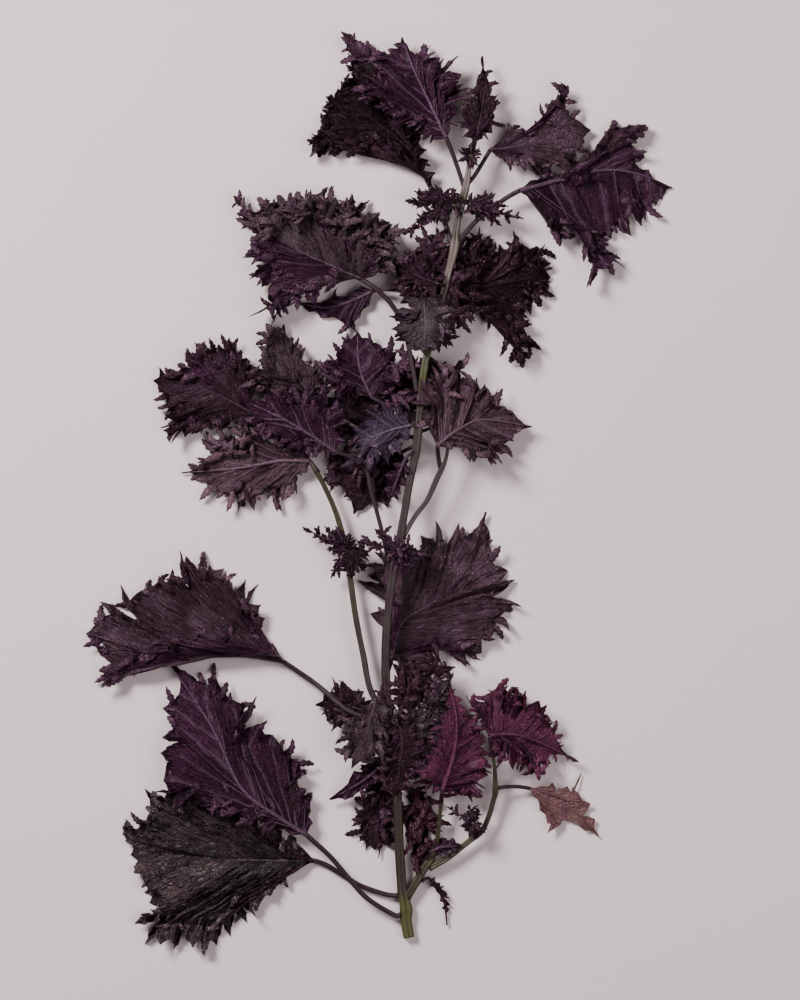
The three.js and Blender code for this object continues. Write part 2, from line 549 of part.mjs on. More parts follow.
// The margin of one side: tips and the notches between them, each with its place s from base to apex.
function margin(leaf, tips, hand, seed) {
  const rib = ribLine(leaf);
  const corners = [leaf.rib[0], ...tips, leaf.rib[leaf.rib.length - 1]];
  const places = corners.map(spot);
  const walked = [0];
  for (let i = 1; i < places.length; i++) walked.push(walked[i - 1] + places[i].distanceTo(places[i - 1]));
  const total = walked[walked.length - 1];
    const list = [];
  const blunt = places.map((p, i) => {
    if (i === 0 || i === places.length - 1) return 1;
    const back = places[i - 1].clone().sub(p);
    const onward = places[i + 1].clone().sub(p);
    const hollow = back.cross(onward) * hand < 0 ? HOLLOW_CUT : 1;
    return hollow * THREE.MathUtils.smoothstep(Math.abs(back.angleTo(onward)), SHARP, BLUNT);
  });
  for (let i = 1; i < places.length; i++) {
    const span = walked[i] - walked[i - 1];
    const open = Math.min(blunt[i - 1], blunt[i]);
    if (open < LEAST_CUT) {
      list.push({ p: places[i].clone(), s: walked[i] / total, tip: true, fold: corners[i][2] ?? 0 });
      continue;
    }
    const teeth = Math.max(1, Math.round(span / TOOTH_PITCH));
    for (let k = 0; k < teeth; k++) {
      const from = places[i - 1].clone().lerp(places[i], k / teeth);
      const to = places[i - 1].clone().lerp(places[i], (k + 1) / teeth);
      const s = (walked[i - 1] + (span * (k + 0.5)) / teeth) / total;
      const inner = rib(Math.pow(s, VEIN_SWEEP));
      const notch = from.clone().lerp(to, 0.5);
      const toRib = new THREE.Vector2(inner.x, inner.y).sub(notch);
      const cut = Math.min((TOOTH_CUT * span) / teeth, DEEPEST_CUT, toRib.length() * CUT_TO_RIB)
        * THREE.MathUtils.smoothstep(s, 0, SMOOTH_BASE) * open;
      const inward = new THREE.Vector2(to.y - from.y, from.x - to.x).multiplyScalar(hand).normalize();
      inward.addScaledVector(toRib.normalize(), LEAN_TO_RIB).normalize();
      const chord = notch.clone();
      notch.addScaledVector(inward, cut);
      const fold = mix(corners[i - 1][2] ?? 0, corners[i][2] ?? 0, (k + 0.5) / teeth);
      list.push({ p: notch, chord, s, tip: false, fold });
      list.push({
        p: to,
        s: (walked[i - 1] + (span * (k + 1)) / teeth) / total,
        tip: true,
        fold: mix(corners[i - 1][2] ?? 0, corners[i][2] ?? 0, (k + 1) / teeth),
      });
    }
  }
  list.pop();
  untangle(leaf, list);
  let farthest = 0;
  list.forEach((point, i) => {
    let nearest = 0;
    let best = Infinity;
    for (let k = 0; k <= RIB_PLACES; k++) {
      const q = rib(k / RIB_PLACES);
      const away = Math.hypot(q.x - point.p.x, q.y - point.p.y);
      if (away < best) [best, nearest] = [away, k / RIB_PLACES];
    }
    const u = mix(Math.pow(point.s, VEIN_SWEEP), nearest, PROJECTED);
    farthest = THREE.MathUtils.clamp(Math.max(farthest, u), 1 - LAST_VEIN, LAST_VEIN);
    point.u = farthest;
    const sign = point.tip ? 1 : -1;
    const slow = Math.sin((i / SLOW_WAVE_TEETH) * 2 * Math.PI + seed * SLOW_WAVE_SHIFT);
    const calm = THREE.MathUtils.smoothstep(point.s, 0, CALM_BASE)
      * THREE.MathUtils.smoothstep(1 - point.s, 0, CALM_APEX);
    const own = sign * (TOOTH_WAVE + TOOTH_WAVE_SPREAD * draw(i, seed));
    point.wave = leaf.ruffle * calm * (own + SLOW_WAVE * slow);
  });
  return list;
}

// A thin sheet from a lattice of points: under each triangle lies a wedge as thick as the sheet, and the wedges
// are joined, so a sheet that folds over itself stays sound.
function sheetSolid(points, faces, depth) {
  const normals = points.map(() => new THREE.Vector3());
  for (const [i, j, k] of faces) {
    const n = points[j].clone().sub(points[i]).cross(points[k].clone().sub(points[i]));
    for (const index of [i, j, k]) normals[index].add(n);
  }
  const under = points.map((p, i) => {
    const down = normals[i].normalize().add(new THREE.Vector3(0, 0, UPRIGHT)).normalize();
    const q = p.clone().addScaledVector(down, -depth[i]);
    q.z = Math.max(q.z, 0);
    return q;
  });
  return wasm.Manifold.union(faces.map((face) => {
    const corners = [...face.map((i) => points[i]), ...face.map((i) => under[i])];
    return toManifold(new ConvexGeometry(corners));
  }));
}

function toManifold(geometry) {
  const bare = geometry.clone();
  bare.deleteAttribute('normal');
  bare.deleteAttribute('uv');
  const merged = mergeVertices(bare, 1e-4);
  return new wasm.Manifold(new wasm.Mesh({
    numProp: 3,
    vertProperties: new Float32Array(merged.attributes.position.array),
    triVerts: new Uint32Array(merged.index.array),
  }));
}

function toGeometry(body) {
  const mesh = body.getMesh();
  const geometry = new THREE.BufferGeometry();
  geometry.setAttribute('position', new THREE.Float32BufferAttribute(mesh.vertProperties, 3));
  geometry.setIndex(new THREE.BufferAttribute(new Uint32Array(mesh.triVerts), 1));
  geometry.computeVertexNormals();
  return geometry;
}

// The band between two rows of points, which share their first and last point, split so that as few triangles
// as possible turn over in plan and their edges stay short.
function band(a, b, points, flip, faces) {
  const cost = (i, j, k) => {
    if (i === j || j === k || i === k) return 0;
    const area = turnOf(points[i], points[j], points[k]) * (flip ? -1 : 1);
    return (area > 0 ? 0 : 1000 - area) + points[i].distanceTo(points[k]) + points[j].distanceTo(points[k]);
  };
  const best = a.map(() => b.map(() => Infinity));
  const came = a.map(() => b.map(() => 0));
  best[0][0] = 0;
  for (let i = 0; i < a.length; i++) {
    for (let j = 0; j < b.length; j++) {
      if (i > 0) {
        const price = best[i - 1][j] + cost(a[i - 1].i, b[j].i, a[i].i);
        if (price < best[i][j]) [best[i][j], came[i][j]] = [price, 1];
      }
      if (j > 0) {
        const price = best[i][j - 1] + cost(a[i].i, b[j - 1].i, b[j].i);
        if (price < best[i][j]) [best[i][j], came[i][j]] = [price, 2];
      }
    }
  }
  let i = a.length - 1;
  let j = b.length - 1;
  while (i > 0 || j > 0) {
    const face = came[i][j] === 1 ? [a[i - 1].i, b[j].i, a[i].i] : [a[i].i, b[j - 1].i, b[j].i];
    if (new Set(face).size === 3) faces.push(flip ? face.reverse() : face);
    if (came[i][j] === 1) i--;
    else j--;
  }
}

// Teeth are cut off the margin as triangles of their own, which leaves the row of the notches.
function shedTeeth(edge, tips, points, flip, faces) {
  const ring = [edge[0]];
  for (let k = 1; k < edge.length; k++) {
    const before = ring[ring.length - 1];
    const after = edge[k + 1];
    const isTooth = after && tips.has(edge[k].i) && before.i !== edge[0].i && k + 1 < edge.length - 1;
    const area = isTooth ? turnOf(points[before.i], points[edge[k].i], points[after.i]) * (flip ? -1 : 1) : 0;
    if (area > 1e-3) {
      faces.push(flip ? [after.i, edge[k].i, before.i] : [before.i, edge[k].i, after.i]);
    } else ring.push(edge[k]);
  }
  return ring;
}

// The upper face of a blade: points, triangles and the depth of the blade below each point.
function bladeLattice(leaf, seed) {
  const rib = ribLine(leaf);
  const points = [];
  const depth = [];
  const faces = [];
  const add = (p, u, thick = BLADE) => {
    points.push(p);
    depth.push(thick);
    return { i: points.length - 1, u };
  };
  const sides = [margin(leaf, leaf.left, 1, seed), margin(leaf, leaf.right, -1, seed + 0.5)];
  const most = Math.max(sides[0].length, sides[1].length);
  const ribCount = Math.max(3, Math.round(most / POINTS_PER_RIB_STEP));
  const ribRow = [];
  for (let k = 0; k <= ribCount; k++) {
    const u = k / ribCount;
    ribRow.push(add(rib(u), u, BLADE + RIB_DEPTH * Math.pow(1 - u, RIB_TAPER)));
  }
  const first = ribRow[0];
  const last = ribRow[ribRow.length - 1];
  sides.forEach((list, side) => {
    const at = (entry, v) => {
      const inner = rib(entry.u);
      const p = new THREE.Vector3(mix(inner.x, entry.p.x, v), mix(inner.y, entry.p.y, v), inner.z);
      p.z += leaf.cup * v * v + entry.wave * v * v + entry.fold * v;
      return p;
    };
    const notches = list.filter((entry) => !entry.tip);
    const middle = notches.filter((entry, k) => k % 2 === 1).map((entry) => add(at(entry, MIDDLE_ROW), entry.u));
    const edge = [first, ...list.map((entry) => add(at(entry, 1), entry.u)), last];
    const inner = [first, ...middle, last];
    const flip = side === 0;
    const tips = new Set(edge.filter((entry, k) => k > 0 && list[k - 1]?.tip).map((entry) => entry.i));
    const ring = shedTeeth(edge, tips, points, flip, faces);
    band(ribRow, inner, points, flip, faces);
    band(inner, ring, points, flip, faces);
  });
  return { points, faces, depth };
}

// A round-ish or square stem along a curve whose thickness changes on the way.
function taperedStem(path, sides, groove, steps) {
  const curve = new THREE.CatmullRomCurve3(path.map((p) => p.place), false, 'centripetal');
  const outline = new THREE.Shape();
  for (let k = 0; k < sides; k++) {
    const angle = ((k + 0.5) / sides) * 2 * Math.PI;
    const r = k % 2 ? 1 : 1 - groove;
    if (k === 0) outline.moveTo(r * Math.cos(angle), r * Math.sin(angle));
    else outline.lineTo(r * Math.cos(angle), r * Math.sin(angle));
  }
  const geometry = new THREE.ExtrudeGeometry(outline, { depth: 1, steps, bevelEnabled: false });
  const position = geometry.attributes.position;
  const up = new THREE.Vector3(0, 0, 1);
  for (let i = 0; i < position.count; i++) {
    const t = THREE.MathUtils.clamp(position.getZ(i), 0, 1);
    const along = t * (path.length - 1);
    const k = Math.min(Math.floor(along), path.length - 2);
    const radius = mix(path[k].radius, path[k + 1].radius, along - k);
    const centre = curve.getPoint(t);
    const tangent = curve.getTangent(t);
    const across = up.clone().cross(tangent).normalize();
    const over = tangent.clone().cross(across);
    const p = centre
      .addScaledVector(across, position.getX(i) * radius)
      .addScaledVector(over, position.getY(i) * radius);
    position.setXYZ(i, ...p);
  }
  return geometry;
}

const stemPath = (rows, extra = 0) => rows.map(([x, y, z, radius]) => {
  const p = spot([x, y]);
  return { place: new THREE.Vector3(p.x, p.y, z), radius: radius + extra };
});

function occupyGeometry(geometry) {
  const merged = mergeVertices(geometry.clone().deleteAttribute('normal').deleteAttribute('uv'), 1e-4);
  const position = merged.attributes.position;
  const points = [];
  for (let i = 0; i < position.count; i++) points.push(new THREE.Vector3().fromBufferAttribute(position, i));
  const faces = [];
  for (let i = 0; i < merged.index.count; i += 3) {
    faces.push([merged.index.getX(i), merged.index.getX(i + 1), merged.index.getX(i + 2)]);
  }
  occupy(points, faces);
}

const biggest = (body) => body.decompose().sort((a, b) => b.volume() - a.volume())[0];

// Stems, and the same stems a gap thicker, which cut what is seated on them
const slab = new THREE.BoxGeometry(MAP_WIDTH, MAP_LENGTH, 20).translate(0, 0, -10);
const ground = toManifold(slab);
const stems = {};
const clearances = {};
function buildStem(name, rows, sides, groove, steps) {
  const geometry = taperedStem(stemPath(rows), sides, groove, steps);
  let body = toManifold(geometry).subtract(ground);
  for (const other of Object.values(clearances)) body = body.subtract(other);
  body = biggest(body);
  clearances[name] = toManifold(taperedStem(stemPath(rows, GAP), sides, groove * 0.5, steps));
  stems[name] = body;
  return geometry;
}

const group = new THREE.Group();
function put(name, body, colour) {
  const mesh = new THREE.Mesh(toGeometry(body), COLOURS[colour]);
  mesh.name = name;
  group.add(mesh);
}

const stemShapes = [buildStem('main_stem', MAIN_STEM, STEM_SIDES, STEM_GROOVE, STEM_STEPS)];
for (const [name, rows] of Object.entries(SIDE_STEMS)) {
  const steps = Math.round(rows.length * SIDE_STEM_STEPS);
  stemShapes.push(buildStem(name, rows, SIDE_STEM_SIDES, SIDE_STEM_GROOVE, steps));
}
for (const [name, body] of Object.entries(stems)) put(name, body, name === 'main_stem' ? 'stem' : 'side_stem');

// The stalk runs from the stem to the base of the blade and on under its rib, thinner and thinner.
function stalkSolid(leaf, lattice) {
  const base = lattice.points[0];
  const ribLength = new THREE.SplineCurve(leaf.rib.map(spot)).getLength();
  const big = Math.min(STALK_THICKEST, STALK_THINNEST + STALK_GROWTH * ribLength);
  const rows = leaf.stalk.map(([x, y, z], k) => {
    const p = spot([x, y]);
    return { place: new THREE.Vector3(p.x, p.y, z), radius: k === 0 ? big * 1.1 : big };
  });
  rows.push({ place: base.clone().setZ(base.z - BLADE), radius: big * 0.95 });
  const inside = lattice.points[1].clone().sub(base);
  rows.push({
    place: base.clone().addScaledVector(inside.normalize(), STALK_SINK).add(new THREE.Vector3(0, 0, -BLADE)),
    radius: big * 0.5,
  });
  return taperedStem(rows, STALK_SIDES, 0, Math.round(rows.length * STALK_STEPS));
}

function layLeaf(leaf, seed) {
  const lattice = bladeLattice(leaf, seed);
  settle(lattice.points, lattice.faces, BLADE);
  const blade = sheetSolid(lattice.points, lattice.faces, lattice.depth);
  const stalk = stalkSolid(leaf, lattice);
  let body = blade.add(toManifold(stalk)).subtract(ground);
  for (const other of Object.values(clearances)) body = body.subtract(other);
  body = biggest(body);
  occupy(lattice.points, lattice.faces);
  occupyGeometry(stalk);
  put(leaf.name, body, leaf.colour);
}

function layTuft(tuft) {
  const centre = spot(tuft.centre);
  const core = new THREE.IcosahedronGeometry(tuft.size, 0);
  core.translate(centre.x, centre.y, tuft.centre[2]);
  let body = toManifold(core);
  tuft.blades.forEach(([x, y, width, z]) => {
    const dx = x - tuft.centre[0];
    const dy = y - tuft.centre[1];
    const length = Math.hypot(dx, dy);
    const along = (t, w, h) => {
      const p = spot([tuft.centre[0] + dx * t - (dy / length) * w, tuft.centre[1] + dy * t + (dx / length) * w]);
      return new THREE.Vector3(p.x, p.y, mix(tuft.centre[2], z, t) + h);
    };
    const points = [
      along(0, 0, 0), along(0.5, width, TUFT_FOLD), along(0.5, 0, TUFT_ARCH), along(0.5, -width, TUFT_FOLD),
      along(1, 0, 0),
    ];
    const faces = [[0, 2, 1], [1, 2, 4], [0, 3, 2], [3, 4, 2]];
    body = body.add(sheetSolid(points, faces, points.map(() => BLADE)));
    occupy(points, faces);
  });
  for (const other of Object.values(clearances)) body = body.subtract(other);
  put(tuft.name, biggest(body), tuft.colour);
}

LEAVES.forEach((leaf, k) => {
  if (k === LEAVES_UNDER_STEM) stemShapes.forEach(occupyGeometry);
  layLeaf(leaf, k);
});
TUFTS.forEach(layTuft);

export default group;
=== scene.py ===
"""Looks of a cut sprig of red shiso: frilled purple-black leaves on grooved stems, on a pale floor."""
import logging
import math
from dataclasses import dataclass, field
from enum import Enum

import bmesh
import bpy
import numpy as np
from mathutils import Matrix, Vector, noise
from mathutils.bvhtree import BVHTree


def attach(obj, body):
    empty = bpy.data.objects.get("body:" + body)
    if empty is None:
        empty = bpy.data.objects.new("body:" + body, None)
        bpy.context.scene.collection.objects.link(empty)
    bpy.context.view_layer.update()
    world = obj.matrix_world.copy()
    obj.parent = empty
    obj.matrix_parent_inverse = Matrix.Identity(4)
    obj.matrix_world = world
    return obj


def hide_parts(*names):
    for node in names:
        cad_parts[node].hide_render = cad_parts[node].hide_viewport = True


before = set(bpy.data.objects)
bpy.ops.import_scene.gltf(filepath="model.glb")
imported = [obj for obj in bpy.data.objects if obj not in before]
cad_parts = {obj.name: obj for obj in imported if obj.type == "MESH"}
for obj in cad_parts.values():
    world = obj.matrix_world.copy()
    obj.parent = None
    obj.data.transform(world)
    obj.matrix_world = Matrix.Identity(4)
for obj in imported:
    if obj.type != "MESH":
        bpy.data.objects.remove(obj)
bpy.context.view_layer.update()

log = logging.getLogger("shiso")

# Outlines are plotted on half-millimetre paper, in squares from its upper left corner. Other sizes are in mm.
GRID = 0.5
SHEET_X = 379.5
SHEET_Y = 495.7
MM = 0.001

# Material slots of a leaf's mesh: the face that looks up, the other face, and the stalk
FACE, OTHER, SHOOT = 0, 1, 2
# Material slots of a stem's mesh: its skin and its cut end
SKIN, CUT = 0, 1
# Angle in radians from one finger of a crowd to the next
CROWD_TURN = 2.4
# Below this a length counts as none
NO_LENGTH = 1e-9

Squares = tuple[tuple[float, ...], ...]


class Look(Enum):
    """How the face of a leaf that looks up is coloured."""

    DARK = "dark"
    BLACK = "black"
    SATIN = "satin"
    ASH = "ash"
    GLOSSY = "glossy"
    BRONZE = "bronze"
    GREY = "grey"
    BROWN = "brown"
    RED = "red"
    PURPLE = "purple"
    DUSK = "dusk"
    BLUE = "blue"
    MAUVE = "mauve"
    AGED = "aged"

    @property
    def is_under(self) -> bool:
        """Whether the underside looks up."""
        return self in (Look.RED, Look.PURPLE, Look.DUSK, Look.BLUE, Look.MAUVE)


@dataclass(frozen=True)
class LeafPlan:
    """One leaf seen from above: rib from base to apex, tips of both margins, stalk from the stem.

    The greater fan is, the nearer to the base the side veins leave the rib. The half on the side
    folded, 1 for left and -1 for right, is turned under and shows its other face. Lobe is the width
    of a lobe in mm; frill, crumple and teeth are shares of the usual number of fingers, depth of relief
    and size of the small teeth; cut is the depth of a notch over the width of a lobe.
    Each ruff is a crowd of fingers: its place, its height in mm, their number and their length in mm.
    """

    name: str
    look: Look
    ruffle: float
    rib: Squares
    left: Squares
    right: Squares
    stalk: Squares
    fan: float = 2.3
    folded: int = 0
    lobe: float = 6.8
    frill: float = 1.0
    crumple: float = 1.0
    teeth: float = 1.0
    cut: float = 1.5
    ruffs: Squares = ()


@dataclass(frozen=True)
class TuftPlan:
    """A tuft of young leaves: its centre, then each blade's tip, half width in squares and height in mm."""

    name: str
    look: Look
    centre: tuple[float, float, float]
    blades: Squares


@dataclass(frozen=True)
class StemPlan:
    """A stem: rows of two squares, the height of its centre in mm and its radius in mm."""

    name: str
    rows: Squares


LEAVES: tuple[LeafPlan, ...] = (
    LeafPlan(
        "leaf_behind_stem_low", Look.DARK, ruffle=1.2, frill=1.2,
        rib=((392, 768), (381, 800), (374, 850)),
        left=((401, 790), (403, 815), (401, 838), (393, 852), (380, 856)),
        right=((375, 768), (361, 782), (358, 800), (358, 818), (357, 832), (352, 843), (364, 848)),
        stalk=((396, 752, 10.5), (394, 760, 6.5)),
    ),
    LeafPlan(
        "leaf_dark_red_low", Look.RED, ruffle=1,
        rib=((412, 788), (418, 822), (420, 866)),
        left=((428, 788), (437, 800), (434, 818), (429, 836), (429, 854)),
        right=((405, 798), (404, 818), (406, 838), (411, 854)),
        stalk=((401, 775, 11), (408, 782, 6)),
        ruffs=((417, 800, 5, 10, 11), (422, 822, 5, 12, 10), (424, 846, 5, 10, 10), (410, 808, 4, 10, 10)),
    ),
    LeafPlan(
        "leaf_right_of_stem", Look.SATIN, ruffle=2, fan=4, lobe=13, frill=0.4, crumple=1.1, teeth=0.25,
        rib=((391, 660), (401, 624), (427, 606), (450, 590), (470, 565), (486, 512)),
        left=(
            (383, 640), (371, 614), (362, 586), (367, 566), (378, 547), (394, 556), (409, 541), (422, 530),
            (436, 523), (454, 526), (468, 538),
        ),
        right=(
            (418, 661), (438, 669), (463, 665), (479, 660), (484, 651), (495, 635), (514, 627), (509, 609),
            (515, 602), (514, 586), (507, 568), (492, 556),
        ),
        stalk=((386, 672, 15), (389, 667, 10)),
    ),
    LeafPlan(
        "leaf_lower_left_large", Look.BRONZE, ruffle=2.4, fan=4.5, lobe=7.5, frill=0.6, crumple=2.2,
        teeth=0.6, cut=1.8,
        rib=((313, 860), (270, 860), (225, 859), (180, 855), (131, 854)),
        left=(
            (304, 865), (294, 872), (284, 887), (270, 896), (259, 904), (254, 915), (246, 926), (234, 939),
            (218, 946), (206, 951), (184, 952), (171, 951), (148, 939), (136, 919), (146, 888), (132, 872),
        ),
        right=(
            (304, 850), (295, 830), (272, 815), (245, 802), (215, 792), (190, 785), (168, 781), (144, 789),
            (150, 812), (114, 828),
        ),
        stalk=((398, 895, 3), (386, 894, 2.6), (360, 885, 2.2), (342, 874, 2), (325, 864, 2)),
    ),
    LeafPlan(
        "leaf_funnel_top", Look.BLACK, ruffle=2.4, fan=4.5, frill=1.3, lobe=5.5, cut=2.4, teeth=0.7,
        rib=((430, 187), (410, 152), (380, 125), (350, 108), (326, 97)),
        left=(
            (421, 177), (410, 168), (397, 158), (381, 148), (362, 151), (339, 155), (327, 160), (306, 159),
            (301, 142), (310, 134), (321, 128), (320, 108),
        ),
        right=(
            (434, 172), (432, 146), (424, 122), (412, 100), (392, 84), (372, 76), (354, 52), (345, 84),
            (331, 93),
        ),
        stalk=((452, 248, 13), (443, 218, 10), (436, 198, 8)),
        ruffs=((395, 110, 12, 12, 10),),
    ),
    LeafPlan(
        "leaf_small_below_curly", Look.PURPLE, ruffle=0.9, frill=0.5, crumple=0.4,
        rib=((372, 292), (350, 302), (325, 308), (298, 303)),
        left=((369, 306), (362, 320), (358, 336), (346, 331), (340, 321), (322, 320), (309, 312)),
        right=((362, 286), (352, 292), (340, 298), (335, 286), (329, 301), (312, 303)),
        stalk=((430, 300, 13), (405, 293, 10), (385, 290, 7)),
    ),
    LeafPlan(
        "leaf_behind_stem_top", Look.DARK, ruffle=1.8,
        rib=((440, 300), (424, 276), (402, 256)),
        left=((428, 310), (412, 314), (394, 304), (385, 288), (384, 270), (390, 257)),
        right=((442, 286), (450, 264), (446, 250), (434, 240), (417, 242)),
        stalk=((438, 311, 13),),
    ),
    LeafPlan(
        "leaf_upper_right_dark", Look.BLACK, ruffle=2.2, fan=3.5, frill=2, lobe=6, cut=2.5, teeth=0.6,
        rib=((452, 296), (480, 288), (515, 281), (550, 277)),
        left=(
            (455, 276), (460, 258), (470, 232), (480, 225), (491, 238), (501, 252), (521, 232), (534, 246),
            (547, 244), (543, 262),
        ),
        right=(
            (457, 318), (477, 314), (488, 322), (501, 332), (515, 343), (520, 363), (527, 344), (536, 350),
            (523, 322), (541, 308), (552, 291),
        ),
        stalk=((446, 288, 13.5), (449, 293, 11)),
        ruffs=(
            (466, 300, 9, 14, 10), (472, 262, 10, 10, 9), (464, 272, 9, 12, 10), (463, 250, 9, 10, 9),
            (462, 288, 9, 10, 9),
        ),
    ),
    LeafPlan(
        "leaf_dark_centre", Look.DARK, ruffle=1.6, frill=1.4,
        rib=((402, 452), (385, 474), (368, 494), (354, 514)),
        left=((410, 462), (410, 480), (404, 498), (390, 506), (376, 505), (364, 510)),
        right=(
            (385, 446), (365, 450), (345, 456), (327, 462), (322, 474), (333, 486), (345, 495), (353, 503),
        ),
        stalk=((413, 447, 15.5),),
        ruffs=((372, 470, 6, 10, 8), (345, 464, 5, 12, 9)),
    ),
    LeafPlan(
        "leaf_hollow_dark", Look.DARK, ruffle=1.4, frill=1.4,
        rib=((404, 436), (378, 424), (350, 412), (322, 403)),
        left=((394, 446), (372, 444), (348, 436), (326, 424)),
        right=((400, 410), (384, 396), (362, 388), (336, 386)),
        stalk=((415, 438, 15),),
        ruffs=((346, 430, 6, 14, 10), (366, 438, 6, 10, 9)),
    ),
    LeafPlan(
        "leaf_dark_frilly", Look.DARK, ruffle=2, frill=1.6,
        rib=((432, 428), (430, 402), (436, 378), (446, 362)),
        left=((412, 424), (396, 414), (380, 397), (385, 374), (402, 366), (418, 362), (432, 356)),
        right=((448, 424), (460, 410), (458, 392), (466, 380), (460, 366)),
        stalk=((421, 432, 15),),
    ),
    LeafPlan(
        "leaf_middle_left_low", Look.DUSK, ruffle=2.2, fan=3, lobe=7, crumple=1.3, teeth=0.7,
        rib=((310, 461), (280, 461), (240, 468), (182, 473)),
        left=(
            (306, 474), (298, 491), (284, 487), (277, 508), (262, 490), (251, 506), (236, 509), (221, 493),
            (206, 483),
        ),
        right=((304, 448), (285, 440), (262, 434), (242, 428), (217, 431), (213, 445), (211, 459)),
        stalk=((318, 472, 12),),
        ruffs=((246, 440, 6, 8, 10), (226, 446, 5, 8, 10)),
    ),
    LeafPlan(
        "leaf_middle_left_frilly", Look.DARK, ruffle=2.6, fan=3.5, frill=1.4, crumple=1.1, lobe=6, cut=2.2,
        teeth=0.7,
        rib=((254, 414), (225, 398), (190, 384), (154, 381)),
        left=(
            (240, 424), (224, 431), (214, 429), (198, 433), (178, 442), (163, 431), (164, 411), (166, 404),
            (157, 393),
        ),
        right=(
            (263, 400), (266, 382), (260, 366), (245, 352), (231, 337), (210, 347), (190, 345), (182, 366),
            (161, 367),
        ),
        stalk=((300, 440, 12), (275, 425, 9)),
    ),
    LeafPlan(
        "leaf_middle_left_grey", Look.GREY, ruffle=2.2, frill=1.3, lobe=5.5, cut=2.2,
        rib=((322, 405), (303, 385), (290, 358), (284, 325)),
        left=((304, 410), (282, 408), (262, 398), (250, 384), (248, 366), (270, 350), (262, 334)),
        right=((332, 394), (335, 380), (324, 366), (308, 362), (303, 346)),
        stalk=((360, 430, 14), (340, 418, 12)),
    ),
    LeafPlan(
        "leaf_middle_left_veined", Look.PURPLE, ruffle=1.6, crumple=0.9,
        rib=((336, 452), (315, 438), (285, 420), (247, 402)),
        left=((328, 460), (312, 460), (292, 456), (272, 449), (254, 438), (242, 424)),
        right=((346, 438), (352, 420), (344, 403), (328, 392), (308, 386), (288, 384), (266, 388)),
        stalk=((389, 562, 16), (381, 527, 15), (371, 490, 14.5), (366, 470, 14), (352, 458, 13)),
        ruffs=((300, 440, 9, 10, 9),),
    ),
    LeafPlan(
        "leaf_middle_fan", Look.PURPLE, ruffle=1.8, fan=3.5, lobe=6.5, frill=1.2, crumple=0.9, cut=2,
        teeth=0.7,
        rib=((372, 398), (362, 376), (358, 355), (358, 333)),
        left=((346, 400), (325, 392), (312, 376), (319, 356), (342, 343)),
        right=((392, 394), (408, 380), (412, 364), (398, 354), (384, 346), (371, 337)),
        stalk=((416, 425, 16), (394, 410, 13)),
        ruffs=((403, 368, 14, 12, 9), (394, 398, 13, 10, 9)),
    ),
    LeafPlan(
        "leaf_middle_blue", Look.BLUE, ruffle=1.6, lobe=6, frill=0.6, crumple=0.6,
        rib=((411, 426), (393, 430), (376, 436), (356, 442)),
        left=((410, 440), (402, 456), (390, 466), (374, 470), (350, 470), (359, 455)),
        right=((410, 412), (400, 402), (386, 402), (371, 408), (363, 419), (353, 430)),
        stalk=((417, 428, 19),),
    ),
    LeafPlan(
        "leaf_centre_narrow", Look.PURPLE, ruffle=1.2,
        rib=((406, 458), (400, 472), (394, 488), (388, 504)),
        left=((411, 470), (408, 484), (400, 496)),
        right=((394, 462), (386, 475), (384, 490)),
        stalk=((414, 452, 18.5),),
    ),
    LeafPlan(
        "leaf_middle_right", Look.DUSK, ruffle=2.2, fan=3, lobe=6.5, frill=0.8, crumple=0.8, cut=1.9,
        teeth=0.8,
        rib=((437, 446), (458, 430), (484, 420), (531, 427)),
        left=(
            (430, 432), (418, 418), (408, 402), (408, 384), (420, 374), (432, 366), (446, 374), (459, 356),
            (469, 380), (479, 376), (498, 388), (502, 394), (513, 411),
        ),
        right=((450, 452), (470, 456), (478, 462), (496, 470), (507, 467), (514, 456), (513, 440)),
        stalk=((440, 468, 16), (438, 456, 18)),
        ruffs=((438, 392, 16, 14, 9), (431, 416, 16, 10, 8)),
    ),
    LeafPlan(
        "leaf_top_right_curled", Look.SATIN, ruffle=1.8, fan=3.5, lobe=7, frill=0.9, crumple=0.8, cut=2.4,
        teeth=0.5,
        rib=((490, 151), (512, 148), (540, 142), (566, 128), (590, 131)),
        left=(
            (498, 143), (504, 139), (510, 122), (523, 130), (538, 127), (541, 111), (554, 99), (565, 80),
            (568, 106), (579, 122),
        ),
        right=(
            (497, 158), (506, 168), (520, 178), (538, 181), (548, 173), (564, 171), (577, 167), (582, 148),
        ),
        stalk=((467, 186, 14), (475, 176, 12)),
    ),
    LeafPlan(
        "leaf_top_right_long", Look.PURPLE, ruffle=1.8, fan=2.6, lobe=6.5, frill=0.9, crumple=0.8, cut=2.6,
        teeth=0.5,
        rib=((519, 192), (560, 181), (604, 171), (640, 175), (672, 188)),
        left=(
            (530, 182), (545, 178), (559, 173), (584, 152), (598, 141), (614, 134), (626, 124), (645, 126),
            (634, 146), (644, 152), (632, 166), (650, 171),
        ),
        right=(
            (530, 199), (541, 205), (549, 222), (555, 246), (561, 231), (573, 234), (588, 232), (589, 284),
            (604, 272), (623, 269), (610, 238), (629, 234), (649, 222), (651, 204), (663, 198),
        ),
        stalk=((456, 247, 15), (474, 224, 12), (493, 209, 10), (506, 199, 9)),
    ),
    LeafPlan(
        "leaf_top_fan", Look.PURPLE, ruffle=2.4, fan=3.5, lobe=5.5, frill=1.2, cut=2.9, teeth=0.6,
        rib=((446, 140), (430, 106), (414, 72), (402, 39)),
        left=(
            (430, 148), (412, 140), (396, 128), (378, 112), (356, 100), (362, 82), (372, 68), (338, 39),
            (378, 57), (393, 44),
        ),
        right=((458, 128), (466, 106), (467, 84), (457, 64), (448, 56), (430, 49), (416, 56)),
        stalk=((464, 190, 14), (454, 160, 14)),
    ),
    LeafPlan(
